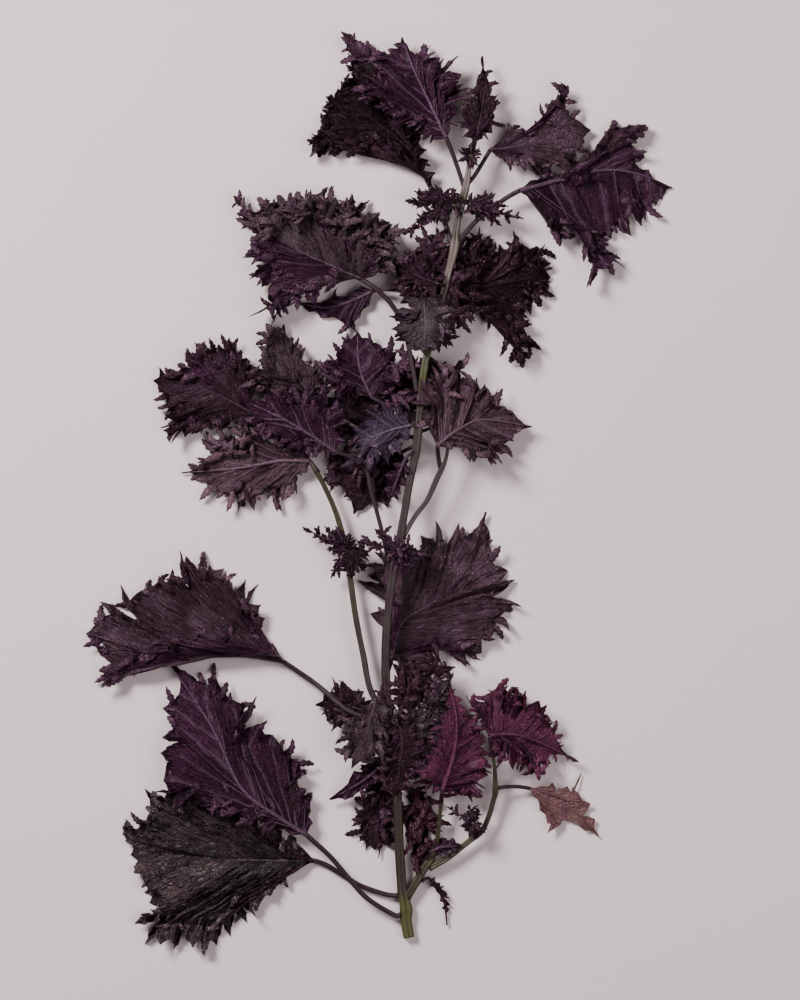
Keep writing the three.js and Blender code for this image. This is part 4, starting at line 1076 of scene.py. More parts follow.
    def crumple(self, columns: Columns) -> None:
        """Sinks the veins, blisters the skin between them and sets the values that the colours follow.

        Args:
            columns: What the columns run between.
        """
        v, along = self.v, self.along
        main, tips = along[columns.main], along[columns.tips]
        warp = noise_over(self.flat, self.warp_pitch, self.seed)
        where = along[:, None] + self.warp * warp * (1 - 0.8 * v)[None, :]
        small = self.vein_at(where, tips, v, 0.3) * np.clip((v - 0.3) * 3, 0, 1)
        vein = np.maximum(self.vein_at(where, main, v, 0.42), 0.55 * small)
        ridge = np.maximum(self.vein_at(where, main, v, 1.9),
                           self.vein_at(where, tips, v, 1.3) * np.clip((v - 0.3) * 2, 0, 1))
        broad = np.clip(self.width / self.full_width, 0.2, 1)
        depth = (self.crumpled * self.plan.crumple * broad)[:, None]
        sign = -1 if self.plan.look.is_under else 1
        swell = np.sin(np.pi * np.clip(v, 0, 1) ** 0.9) ** 0.7
        self.height += sign * (0.6 + 0.4 * depth) * 1.2 * (1 - ridge) * swell * broad[:, None]
        bubbles = np.array([[self.bubble(x, y) for x, y in column] for column in self.flat])
        self.height += (0.55 if sign < 0 else 0.95) * depth * bubbles * np.clip(v * 4, 0, 1)[None, :]
        self.values = {
            "vein": vein, "edge": v[None, :], "along": 0.55 * along[:, None] + 0.5 * warp,
            "around": 4.5 * v[None, :], "blush": np.clip((columns.places - 0.68) / 0.22, 0, 1)[:, None],
        }

    @staticmethod
    def vein_at(where: np.ndarray, columns: np.ndarray, v: np.ndarray, breadth: float) -> np.ndarray:
        """Shows where the veins of some columns run.

        Args:
            where: Distance along the blade of each place in mm.
            columns: Distance along the blade of each vein in mm.
            v: Place of each row from 0 at the rib to 1 at the margin.
            breadth: Half the breadth of a vein in mm.

        Returns:
            1 on the veins, falling to 0 beside them.
        """
        if not len(columns):
            return np.zeros(where.shape)
        apart = np.abs(where[:, :, None] - columns[None, None, :]).min(axis=2)
        return np.exp(-((apart * (0.12 + 0.88 * v)[None, :] / breadth) ** 2))

    def bubble(self, x: float, y: float) -> float:
        """How high the crumpled skin stands.

        Args:
            x: Place to the right in mm.
            y: Place up the sprig in mm.

        Returns:
            Its height over its hollows, from about -1 to 1.
        """
        bend = noise.noise(Vector((x / 3, y / 3, self.seed + 4)))
        near = noise.voronoi(Vector((x / 3.4 + bend, y / 3.4 - bend, self.seed)))[0]
        broad = noise.noise(Vector((x / 6.5, y / 6.5, self.seed + 12)))
        fine = noise.noise(Vector((x / 2.2, y / 2.2, 3)))
        return smoothstep(near[1] - near[0], 0.0, 0.6) - 0.6 + 0.5 * fine + 1.1 * broad


@dataclass
class Fringe:
    """The curled fingers that stand up along the margin of a half blade, or in a crowd by themselves."""

    half: HalfBlade | None
    pitch: float = 3.2
    length: float = 9.5
    width: float = 1.35
    rings: int = 8
    least: float = 7.0
    lift: float = 1.0

    def lay(self, sheet: "Sheet", slot: int, under_slot: int, thickness: float) -> None:
        """Lays the fingers.

        Args:
            sheet: The mesh in the making.
            slot: Material slot of the face that looks up.
            under_slot: Material slot of the other face.
            thickness: Thickness in mm.
        """
        half, seed = self.half, self.half.seed
        places = half.places
        columns, rows = places.shape[:2]
        rim = places[:, -1]
        walked = np.concatenate([[0.0], np.cumsum(np.linalg.norm(np.diff(half.floor, axis=0), axis=1))])
        count = int(walked[-1] / self.pitch * half.plan.frill)
        made = []
        for k in range(count):
            share = (k + draw(k, seed)) / max(count, 1)
            column = int(np.searchsorted(walked, walked[-1] * (0.05 + 0.93 * share)))
            column = min(max(column, 1), columns - 2)
            reach = float(np.linalg.norm(rim[column] - places[column, 0]))
            if reach < self.least / half.plan.frill:
                continue
            near = max(0.5, 0.86 - 0.16 * half.plan.frill)
            row = int((rows - 1) * (near + (0.95 - near) * draw(k * 1.3, seed + 1)))
            start = Vector(places[column, row])
            out = Vector((rim[column] - places[column, max(row - 6, 0)])[:2])
            if out.length < NO_LENGTH:
                continue
            size = min(1.0, max(reach / (2.3 * self.least), 0.25 * half.plan.frill))
            size *= 0.5 + 0.9 * draw(k * 2.1, seed + 2) ** 1.5
            made += self.finger(sheet, start, out.normalized(), size, seed + k * 0.37, slot)
        if made:
            sheet.thicken(made, thickness, under_slot)

    def finger(self, sheet: "Sheet", start: Vector, out: Vector, size: float, seed: float,
               slot: int) -> list[bmesh.types.BMFace]:
        """Lays one finger.

        Args:
            sheet: The mesh in the making.
            start: Where the finger leaves the blade.
            out: Direction away from the rib.
            size: Size of the finger, 1 for a full one.
            seed: Number that the finger's bends follow.
            slot: Material slot.

        Returns:
            The faces of the finger.
        """
        swing = (draw(seed, 1) - 0.5) * 1.9
        rise = (0.15 + 0.95 * draw(seed, 2)) * self.lift
        turn = (draw(seed, 3) - 0.5) * 0.34
        fall = (0.12 + 0.2 * draw(seed, 4)) * self.lift
        twist = (draw(seed, 5) - 0.5) * 2.2
        step = self.length * size / self.rings
        place = start - Vector((0, 0, 0.3))
        lines = []
        for k in range(self.rings + 1):
            t = k / self.rings
            heading = swing + turn * k
            ahead = Vector((
                out.x * math.cos(heading) - out.y * math.sin(heading),
                out.x * math.sin(heading) + out.y * math.cos(heading),
            ))
            lean = rise - fall * k
            flat = Vector((-ahead.y, ahead.x, 0))
            roll = twist * (0.2 + t)
            across = flat * math.cos(roll) + Vector((0, 0, 1)) * math.sin(roll)
            breadth = self.width * size * (math.sin(math.pi * (0.2 + 0.8 * t)) ** 0.8 + 0.03)
            breadth *= 1 + 0.24 * (-1) ** k
            dip = Vector((0, 0, -0.5 * breadth))
            lines.append([place - across * breadth, place + dip, place + across * breadth])
            place = place + Vector((*(ahead * math.cos(lean)), math.sin(lean))) * step
        grid = np.array(lines)
        grid[:, :, 2] = np.maximum(grid[:, :, 2], 0.5)
        shade = np.linspace(0.75, 1.0, self.rings + 1)[:, None]
        return sheet.lay(grid, slot, vein=np.array([[0.0, 0.6, 0.0]]), edge=shade)


@dataclass
class RibHeight:
    """Height of a leaf's rib over the surface, from base to apex."""

    plan: LeafPlan
    surface: NodeSurface
    steps: int = 40
    profile: np.ndarray = field(init=False)

    def __post_init__(self) -> None:
        """Reads the solid along the rib and evens the line."""
        line = [curve_point([squares(x, y) for x, y in self.plan.rib], k / self.steps)
                for k in range(self.steps + 1)]
        seen = filled(np.array([self.surface.top(p.x, p.y) for p in line]))
        if np.isnan(seen).all():
            seen = np.full(len(line), 2.0)
        self.profile = softened(seen, 0, 3.0)

    def at(self, places: np.ndarray) -> np.ndarray:
        """Heights in mm at places from 0 to 1."""
        return np.interp(places, np.linspace(0, 1, self.steps + 1), self.profile)


class Sheet:
    """A mesh in the making, with the values that its colours follow."""

    def __init__(self, name: str, values: tuple[str, ...]) -> None:
        """Starts an empty mesh.

        Args:
            name: Name of the piece.
            values: Names of the values, each of which gets a layer.
        """
        self.name = name
        self.mesh = bmesh.new()
        for key in values:
            self.mesh.verts.layers.float.new(key)

    def lay(self, places: np.ndarray, slot: int, **values: np.ndarray | float) -> list[bmesh.types.BMFace]:
        """Lays a grid on the given places.

        Args:
            places: Columns by rows of places in mm.
            slot: Material slot of the faces.
            **values: Colour values for the places, each a number or an array of columns by rows.

        Returns:
            The faces of the grid.
        """
        columns, rows = places.shape[:2]
        grid = bmesh.ops.create_grid(self.mesh, x_segments=columns - 1, y_segments=rows - 1, size=1.0)
        made = grid["verts"]
        spots = (places * MM).tolist()
        layers = [
            (self.mesh.verts.layers.float[key], np.broadcast_to(value, (columns, rows)).tolist())
            for key, value in values.items()
        ]
        for n, vert in enumerate(made):
            i, j = n % columns, n // columns
            vert.co = spots[i][j]
            for layer, value in layers:
                vert[layer] = value[i][j]
        faces = list({face for vert in made for face in vert.link_faces})
        for face in faces:
            face.material_index = slot
            face.smooth = True
        return faces

    def tube(self, line: list[Vector], radii: list[float], sides: int, slot: int, groove: float = 0.0,
             cut_slot: int | None = None, **values: np.ndarray | float) -> None:
        """Lays a closed tube round a line.

        Args:
            line: Centres of the rings in mm.
            radii: Radius of each ring in mm.
            sides: Sides of the tube.
            slot: Material slot.
            groove: Depth of the four grooves as a part of the radius.
            cut_slot: Material slot of the cut end, or none for round ends.
            **values: Colour values.
        """
        rings = []
        for k, centre in enumerate(line):
            ahead = line[min(k + 1, len(line) - 1)] - line[max(k - 1, 0)]
            across = Vector((0, 0, 1)).cross(ahead)
            across = across.normalized() if across.length > NO_LENGTH else Vector((1, 0, 0))
            over = ahead.normalized().cross(across)
            ring = []
            for n in range(sides + 1):
                angle = 2 * math.pi * n / sides
                r = radii[k] * (1 + groove * edged(angle)[0])
                p = centre + across * (math.cos(angle) * r) + over * (math.sin(angle) * r)
                ring.append((p.x, p.y, max(p.z, 0.02)))
            rings.append(ring)
        faces = self.lay(np.array(rings), slot, **values)
        verts = list({vert for face in faces for vert in face.verts})
        bmesh.ops.remove_doubles(self.mesh, verts=verts, dist=1e-7)
        faces = [face for face in faces if face.is_valid]
        open_edges = [edge for edge in {e for f in faces for e in f.edges} if edge.is_boundary]
        caps = bmesh.ops.holes_fill(self.mesh, edges=open_edges, sides=sides)["faces"]
        for face in caps:
            face.material_index = slot
        bmesh.ops.recalc_face_normals(self.mesh, faces=faces + caps)
        if cut_slot is not None:
            start = line[0] * MM
            end = min(caps, key=lambda face: (face.calc_center_median() - start).length)
            rim = radii[0] * 0.22 * MM
            bmesh.ops.inset_individual(self.mesh, faces=[end], thickness=rim, depth=-0.3 * MM)
            end.material_index = cut_slot

    def thicken(self, faces: list[bmesh.types.BMFace], depth: float, under_slot: int) -> None:
        """Merges the seams of faces, turns them upwards and gives them their thickness below.

        Args:
            faces: The faces.
            depth: Thickness in mm.
            under_slot: Material slot of the faces below and at the sides.
        """
        verts = list({vert for face in faces for vert in face.verts})
        bmesh.ops.remove_doubles(self.mesh, verts=verts, dist=1e-6)
        faces = [face for face in faces if face.is_valid]
        self.mesh.normal_update()
        if sum(face.normal.z * face.calc_area() for face in faces) < 0:
            bmesh.ops.reverse_faces(self.mesh, faces=faces)
        made = bmesh.ops.extrude_face_region(self.mesh, geom=faces, use_keep_orig=True)["geom"]
        self.mesh.normal_update()
        lower = [item for item in made if isinstance(item, bmesh.types.BMFace)]
        sign = 1 if sum(face.normal.z * face.calc_area() for face in lower) > 0 else -1
        below = [item for item in made if isinstance(item, bmesh.types.BMVert)]
        for vert in below:
            vert.co += vert.normal * (-sign * depth * MM)
        upper = set(faces)
        shell = upper | {face for vert in below for face in vert.link_faces}
        for face in shell - upper:
            face.material_index = under_slot
            face.smooth = True
        bmesh.ops.recalc_face_normals(self.mesh, faces=list(shell))

    def piece(self, finishes: list[bpy.types.Material], node: str) -> bpy.types.Object:
        """Makes the piece that stands for a solid of the frame.

        Args:
            finishes: Materials of the slots in order.
            node: Name of the solid.

        Returns:
            The new object.
        """
        data = bpy.data.meshes.new(self.name)
        self.mesh.to_mesh(data)
        self.mesh.free()
        piece = bpy.data.objects.new(self.name, data)
        bpy.context.scene.collection.objects.link(piece)
        for finish in finishes:
            data.materials.append(finish)
        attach(piece, "root")
        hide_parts(node)
        return piece


class Tree:
    """Adds nodes to a shader tree and joins them."""

    def __init__(self, tree: bpy.types.NodeTree) -> None:
        """Works on the tree given."""
        self.tree = tree

    def node(self, kind: str, **settings: object) -> bpy.types.Node:
        """Adds a node of a kind with its settings."""
        made = self.tree.nodes.new(kind)
        for key, value in settings.items():
            setattr(made, key, value)
        return made

    def join(self, socket: bpy.types.NodeSocket, value: object) -> None:
        """Links a socket to an output, or sets it to a plain value."""
        if isinstance(value, bpy.types.NodeSocket):
            self.tree.links.new(value, socket)
        elif isinstance(value, tuple) and len(value) == 3 and socket.type == "RGBA":
            socket.default_value = (*value, 1.0)
        else:
            socket.default_value = value

    def math(self, operation: str, a: object, b: object = 0.0) -> bpy.types.NodeSocket:
        """A sum, product or other operation on two values."""
        made = self.node("ShaderNodeMath", operation=operation)
        self.join(made.inputs[0], a)
        self.join(made.inputs[1], b)
        return made.outputs[0]

    def scaled(self, vector: object, factor: object) -> bpy.types.NodeSocket:
        """A vector times a number."""
        made = self.node("ShaderNodeVectorMath", operation="SCALE")
        self.join(made.inputs[0], vector)
        self.join(made.inputs["Scale"], factor)
        return made.outputs[0]

    def mix(self, factor: object, a: object, b: object) -> bpy.types.NodeSocket:
        """A colour between two."""
        made = self.node("ShaderNodeMix", data_type="RGBA")
        self.join(made.inputs[0], factor)
        self.join(made.inputs[6], a)
        self.join(made.inputs[7], b)
        return made.outputs[2]

    def ranged(self, value: object, low: object, high: object, start: object = 0.0,
               end: object = 1.0) -> bpy.types.NodeSocket:
        """A value eased from the range low to high into the range start to end."""
        made = self.node("ShaderNodeMapRange", interpolation_type="SMOOTHSTEP")
        for key, item in (("Value", value), ("From Min", low), ("From Max", high), ("To Min", start),
                          ("To Max", end)):
            self.join(made.inputs[key], item)
        return made.outputs[0]

    def attribute(self, name: str) -> bpy.types.NodeSocket:
        """A value stored with the mesh."""
        return self.node("ShaderNodeAttribute", attribute_name=name).outputs["Fac"]

    def group(self, group: bpy.types.NodeTree, **values: object) -> bpy.types.Node:
        """Adds a node group and joins its inputs by name."""
        made = self.node("ShaderNodeGroup", node_tree=group)
        for key, value in values.items():
            self.join(made.inputs[key], value)
        return made


class Dressing(Tree):
    """A material in the making, with its shader and the place of each point on the object."""

    def __init__(self, name: str) -> None:
        """Starts a material of the name given."""
        self.material = bpy.data.materials.new(name)
        self.material.use_nodes = True
        super().__init__(self.material.node_tree)
        self.inputs = self.tree.nodes["Principled BSDF"].inputs
        self.place = self.node("ShaderNodeTexCoord").outputs["Object"]

    def lengthwise(self) -> bpy.types.NodeSocket:
        """The place along and around a piece, as stored with its mesh."""
        made = self.node("ShaderNodeCombineXYZ")
        self.join(made.inputs[0], self.attribute("along"))
        self.join(made.inputs[1], self.attribute("around"))
        return made.outputs[0]

    def emboss(self, height: object, strength: float, distance: float) -> None:
        """Gives the surface relief.

        Args:
            height: Height of the relief.
            strength: How strongly it shows.
            distance: Its depth in metres.
        """
        bump = self.node("ShaderNodeBump")
        bump.inputs["Strength"].default_value = strength
        bump.inputs["Distance"].default_value = distance
        self.join(bump.inputs["Height"], height)
        self.join(self.inputs["Normal"], bump.outputs["Normal"])


def start_group(name: str, inputs: tuple[tuple[str, str], ...], outputs: tuple[str, ...]
                ) -> tuple[bpy.types.NodeTree, Tree, bpy.types.Node, bpy.types.Node]:
    """Starts a node group.

    Args:
        name: Name of the group.
        inputs: Name and kind of each input.
        outputs: Name of each output, all of them numbers.

    Returns:
        The group, its helper, its input node and its output node.
    """
    group = bpy.data.node_groups.new(name, "ShaderNodeTree")
    for key, kind in inputs:
        group.interface.new_socket(key, in_out="INPUT", socket_type=kind)
    for key in outputs:
        group.interface.new_socket(key, in_out="OUTPUT", socket_type="NodeSocketFloat")
    tree = Tree(group)
    return group, tree, tree.node("NodeGroupInput"), tree.node("NodeGroupOutput")


class Groups:
    """Node groups that several finishes use."""

    def __init__(self) -> None:
        """Builds the groups."""
        self.net = self.build_net()
        self.mottle = self.build_mottle()

    @staticmethod
    def build_net() -> bpy.types.NodeTree:
        """A net of fine veins between bulging cells.

        Returns:
            The group, which puts out the mask of the veins and the height of the cells.
        """
        number = "NodeSocketFloat"
        group, tree, source, target = start_group(
            "NetVeins", (("Vector", "NodeSocketVector"), ("Scale", number), ("Width", number)),
            ("Mask", "Height"),
        )
        place = tree.scaled(source.outputs["Vector"], source.outputs["Scale"])
        warp = tree.node("ShaderNodeTexNoise")
        tree.join(warp.inputs["Vector"], place)
        tree.join(warp.inputs["Scale"], 0.7)
        shift = tree.node("ShaderNodeVectorMath", operation="MULTIPLY_ADD")
        tree.join(shift.inputs[0], warp.outputs["Color"])
        shift.inputs[1].default_value = (0.9, 0.9, 0.9)
        tree.join(shift.inputs[2], place)
        cells = tree.node("ShaderNodeTexVoronoi", feature="DISTANCE_TO_EDGE")
        tree.join(cells.inputs["Vector"], shift.outputs[0])
        tree.join(cells.inputs["Scale"], 1.0)
        distance = cells.outputs["Distance"]
        tree.join(target.inputs["Mask"], tree.ranged(distance, 0.0, source.outputs["Width"], 1.0, 0.0))
        tree.join(target.inputs["Height"], tree.ranged(distance, 0.0, 0.45))
        return group

    @staticmethod
    def build_mottle() -> bpy.types.NodeTree:
        """Soft patches of light and dark.

        Returns:
            The group, which puts out their value.
        """
        number = "NodeSocketFloat"
        group, tree, source, target = start_group(
            "Mottle", (("Vector", "NodeSocketVector"), ("Scale", number), ("Contrast", number)), ("Value",),
        )
        patches = tree.node("ShaderNodeTexNoise")
        tree.join(patches.inputs["Vector"], source.outputs["Vector"])
        tree.join(patches.inputs["Scale"], source.outputs["Scale"])
        tree.join(patches.inputs["Detail"], 4.0)
        low = tree.math("SUBTRACT", 0.5, source.outputs["Contrast"])
        high = tree.math("ADD", 0.5, source.outputs["Contrast"])
        tree.join(target.inputs["Value"], tree.ranged(patches.outputs["Fac"], low, high))
        return group


Colour = tuple[float, float, float]
VALUES = ("vein", "edge", "green", "along", "around", "ridge", "blush")


@dataclass(frozen=True)
class LeafFinish:
    """One face of a leaf: its colours, among them painted shade in the pleat hollows, its gloss and relief.
    """

    name: str
    # deep is the dark end of the colour: the leaf's own dark patches, and painted shade in the pleat hollows
    deep: Colour
    light: Colour
    net: Colour
    vein: Colour
    rim: Colour
    net_share: float = 0.25
    vein_share: float = 0.5
    rim_share: float = 0.5
    rough: float = 0.31
    coat: float = 0.03
    relief: float = 0.95
    net_relief: float = 0.35
    specular: float = 0.27
    glint: Colour = (0.92, 0.38, 0.6)
    tip: Colour | None = None

    def material(self, groups: Groups) -> bpy.types.Material:
        """Builds the material.

        Args:
            groups: The node groups that it uses.

        Returns:
            The material.
        """
        tree = Dressing(self.name)
        net = tree.group(groups.net, Vector=tree.place, Scale=520.0, Width=0.14)
        fine = tree.group(groups.net, Vector=tree.place, Scale=1500.0, Width=0.2)
        patches = tree.group(groups.mottle, Vector=tree.place, Scale=95.0, Contrast=0.16).outputs["Value"]
        clouds = tree.group(groups.mottle, Vector=tree.place, Scale=28.0, Contrast=0.2).outputs["Value"]
        edge = tree.ranged(tree.attribute("edge"), 0.86, 1.0)
        folds = tree.group(groups.mottle, Vector=tree.lengthwise(), Scale=1.0, Contrast=0.22)
        pleats = folds.outputs["Value"]
        # From deep to light by random patches, which are the leaf's own tone, and by the pleats of the
        # relief, which make the pleat hollows darker as painted shade
        tone_and_fold_shade = tree.math("MULTIPLY", tree.math("ADD", tree.math("ADD", patches, clouds), pleats), 0.36)
        tone_and_fold_shade = tree.math("POWER", tone_and_fold_shade, 1.7)
        colour = tree.mix(tone_and_fold_shade, self.deep, self.light)
        colour = tree.mix(tree.math("MULTIPLY", net.outputs["Mask"], self.net_share), colour, self.net)
        if self.tip:
            faded = tree.math("MULTIPLY", tree.attribute("blush"), tree.ranged(clouds, 0.3, 0.6))
            colour = tree.mix(faded, colour, self.tip)
        colour = tree.mix(tree.math("MULTIPLY", edge, self.rim_share), colour, self.rim)
        colour = tree.mix(tree.math("MULTIPLY", tree.attribute("vein"), self.vein_share), colour, self.vein)
        tree.join(tree.inputs["Base Color"], colour)
        rough = tree.ranged(patches, 0.0, 1.0, self.rough + 0.1, self.rough - 0.08)
        tree.join(tree.inputs["Roughness"], rough)
        tree.inputs["Specular IOR Level"].default_value = self.specular
        tree.inputs["Specular Tint"].default_value = (*self.glint, 1.0)
        tree.inputs["Coat Weight"].default_value = self.coat
        tree.inputs["Coat Tint"].default_value = (1.0, 0.9, 0.93, 1.0)
        tree.inputs["Coat Roughness"].default_value = 0.25
        relief = tree.math("ADD", tree.math("MULTIPLY", net.outputs["Height"], self.net_relief),
                           tree.math("MULTIPLY", fine.outputs["Height"], 0.08))
        relief = tree.math("ADD", relief, tree.math("MULTIPLY", pleats, 1.3))
        tree.emboss(relief, self.relief, 0.0011)
        return tree.material


@dataclass(frozen=True)
class StemFinish:
    """The skin of a stem or stalk, from green to purple, with a painted highlight and dark lines along its
    grooves and corners.
    """

    name: str
    green: Colour
    olive: Colour
    purple: Colour
    ridge: Colour
    ridge_share: float = 0.6
    # Colour of the painted highlight along the upper main stem
    blush: Colour = (0.15, 0.105, 0.095)
    rough: float = 0.38

    def material(self, groups: Groups) -> bpy.types.Material:
        """Builds the material.

        Args:
            groups: The node groups that it uses.

        Returns:
            The material.
        """
        tree = Dressing(self.name)
        green = tree.attribute("green")
        fibres = tree.group(groups.mottle, Vector=tree.lengthwise(), Scale=1.0, Contrast=0.2)
        streaks = fibres.outputs["Value"]
        patches = tree.group(groups.mottle, Vector=tree.place, Scale=150.0, Contrast=0.2).outputs["Value"]
        toward = tree.math("ADD", green, tree.math("MULTIPLY", tree.math("SUBTRACT", patches, 0.5), 0.35))
        colour = tree.mix(tree.ranged(toward, 0.0, 0.5), self.purple, self.olive)
        colour = tree.mix(tree.ranged(toward, 0.45, 1.0), colour, self.green)
        # Painted highlight: the stem turns pale beige where its highlight value is set
        colour = tree.mix(tree.attribute("blush"), colour, self.blush)
        # Dark lines along the grooves and corners: in the grooves this is painted shade, at the corners the
        # stem's own purple
        line = tree.math("MULTIPLY", tree.attribute("ridge"), self.ridge_share)
        line = tree.math("MULTIPLY", line, tree.ranged(streaks, 0.0, 1.0, 0.3, 1.0))
        colour = tree.mix(line, colour, self.ridge)
        tree.join(tree.inputs["Base Color"], colour)
        tree.join(tree.inputs["Roughness"], tree.ranged(streaks, 0.0, 1.0, self.rough + 0.12, self.rough))
        tree.inputs["Specular IOR Level"].default_value = 0.3
        tree.emboss(streaks, 0.32, 0.0004)
        return tree.material


@dataclass(frozen=True)
class PlainFinish:
    """A matt finish with faint mottling."""

    name: str
    light: Colour
    dark: Colour
    scale: float
    rough: float = 0.8

    def material(self, groups: Groups) -> bpy.types.Material:
        """Builds the material.

        Args:
            groups: The node groups that it uses.

        Returns:
            The material.
        """
        tree = Dressing(self.name)
        patches = tree.group(groups.mottle, Vector=tree.place, Scale=self.scale, Contrast=0.25)
        tree.join(tree.inputs["Base Color"], tree.mix(patches.outputs["Value"], self.dark, self.light))
        tree.inputs["Roughness"].default_value = self.rough
        return tree.material


UNDER_FACE = LeafFinish(
    "leaf_under_purple", deep=(0.006, 0.001, 0.004), light=(0.046, 0.011, 0.032), net=(0.038, 0.02, 0.034),
    vein=(0.085, 0.05, 0.078), rim=(0.010, 0.003, 0.008), net_share=0.5, vein_share=0.7, rim_share=0.6,
)
UPPER_FACE = LeafFinish(
    "leaf_upper_dark", deep=(0.003, 0.001, 0.002), light=(0.044, 0.020, 0.031), net=(0.03, 0.02, 0.026),
    vein=(0.036, 0.022, 0.03), rim=(0.006, 0.002, 0.004),
)
FACES = {
    Look.DARK: UPPER_FACE,
    Look.BLACK: LeafFinish(
        "leaf_upper_black", deep=(0.002, 0.001, 0.001), light=(0.012, 0.005, 0.009), net=(0.014, 0.008,
        0.011),
        vein=(0.016, 0.009, 0.013), rim=(0.003, 0.001, 0.002), specular=0.2,
    ),
    Look.SATIN: LeafFinish(
        "leaf_upper_satin", deep=(0.007, 0.003, 0.005), light=(0.082, 0.048, 0.064), net=(0.05, 0.03,
        0.042),
        vein=(0.05, 0.028, 0.042), rim=(0.008, 0.003, 0.006), net_share=0.15, rough=0.27, specular=0.4,
    ),
    Look.ASH: LeafFinish(
        "leaf_upper_ash", deep=(0.012, 0.007, 0.010), light=(0.096, 0.071, 0.085), net=(0.09, 0.07, 0.08),
        vein=(0.085, 0.06, 0.075), rim=(0.012, 0.005, 0.009), net_relief=0.25,
    ),
    Look.DUSK: LeafFinish(
        "leaf_under_dusk", deep=(0.020, 0.008, 0.014), light=(0.102, 0.056, 0.074), net=(0.09, 0.055, 0.07),
        vein=(0.11, 0.07, 0.09), rim=(0.016, 0.005, 0.010), net_relief=0.25, vein_share=0.6,
    ),
    Look.GLOSSY: LeafFinish(
        "leaf_upper_glossy", deep=(0.007, 0.003, 0.006), light=(0.040, 0.025, 0.033), net=(0.045, 0.034,
        0.04),
        vein=(0.05, 0.034, 0.043), rim=(0.006, 0.002, 0.004), rough=0.3, coat=0.2,
    ),
    Look.BRONZE: LeafFinish(
        "leaf_upper_bronze", deep=(0.004, 0.001, 0.002), light=(0.098, 0.062, 0.066), net=(0.05, 0.034,
        0.038),
        vein=(0.06, 0.04, 0.046), rim=(0.009, 0.003, 0.005), rough=0.28, coat=0.08, relief=1.4, specular=0.4,
        glint=(0.95, 0.7, 0.8),
    ),
    Look.GREY: LeafFinish(
        "leaf_upper_grey", deep=(0.008, 0.003, 0.005), light=(0.074, 0.048, 0.056), net=(0.065, 0.055,
        0.062),
        vein=(0.065, 0.048, 0.058), rim=(0.010, 0.004, 0.008),
    ),
    Look.BROWN: LeafFinish(
        "leaf_upper_brown", deep=(0.005, 0.002, 0.003), light=(0.026, 0.011, 0.015), net=(0.034, 0.018,
        0.024),
        vein=(0.034, 0.018, 0.024), rim=(0.007, 0.002, 0.004),
    ),
    Look.RED: LeafFinish(
        "leaf_under_red", deep=(0.005, 0.001, 0.002), light=(0.028, 0.006, 0.011), net=(0.03, 0.011, 0.016),
        vein=(0.06, 0.026, 0.034), rim=(0.006, 0.001, 0.003),
    ),
    Look.PURPLE: UNDER_FACE,
    Look.BLUE: LeafFinish(
        "leaf_under_blue", deep=(0.012, 0.007, 0.014), light=(0.056, 0.037, 0.064), net=(0.062, 0.042,
        0.068),
        vein=(0.10, 0.073, 0.105), rim=(0.012, 0.005, 0.012), net_share=0.55, vein_share=0.6,
    ),
    Look.MAUVE: LeafFinish(
        "leaf_under_mauve", deep=(0.026, 0.004, 0.016), light=(0.135, 0.030, 0.066), net=(0.075, 0.026,
        0.05),
        vein=(0.078, 0.027, 0.05), rim=(0.022, 0.004, 0.012), net_share=0.5, vein_share=0.45,
    ),
    Look.AGED: LeafFinish(
        "leaf_aged_brown", deep=(0.09, 0.03, 0.043), light=(0.29, 0.168, 0.145), net=(0.2, 0.115, 0.105),
        vein=(0.14, 0.06, 0.085), rim=(0.07, 0.03, 0.012), net_share=0.5, vein_share=0.6,
        tip=(0.16, 0.075, 0.012),
    ),
}
STALK = StemFinish(
    "stalk_skin", green=(0.06, 0.06, 0.022), olive=(0.020, 0.008, 0.011), purple=(0.018, 0.003, 0.010),
    ridge=(0.010, 0.003, 0.007), ridge_share=0.7,
)
STEM = StemFinish(
    "stem_skin", green=(0.058, 0.056, 0.013), olive=(0.030, 0.019, 0.012), purple=(0.022, 0.006, 0.012),
    ridge=(0.010, 0.004, 0.006), ridge_share=0.92,
)
PITH = PlainFinish("stem_pith", light=(0.4, 0.42, 0.24), dark=(0.28, 0.3, 0.15), scale=600.0)
FLOOR = PlainFinish("floor_matt", light=(0.72, 0.58, 0.6), dark=(0.70, 0.56, 0.58), scale=3.0, rough=0.9)


def skin_values(rings: int, sides: int, pitch: float) -> dict[str, np.ndarray]:
    """The values that the colours of a four-edged tube follow.

    Args:
        rings: Number of its rings.
        sides: Number of its sides.
        pitch: Distance between rings in the pattern of its skin.

    Returns:
        The values by name, each for rings by sides.
    """
    angle = np.linspace(0, 2 * math.pi, sides + 1)
    ones = np.ones((rings, sides + 1))
    return {
        "along": np.arange(rings)[:, None] * pitch * ones, "around": angle[None, :] * 4 * ones,
        "ridge": np.array([edged(a)[1] for a in angle])[None, :] * ones,
    }


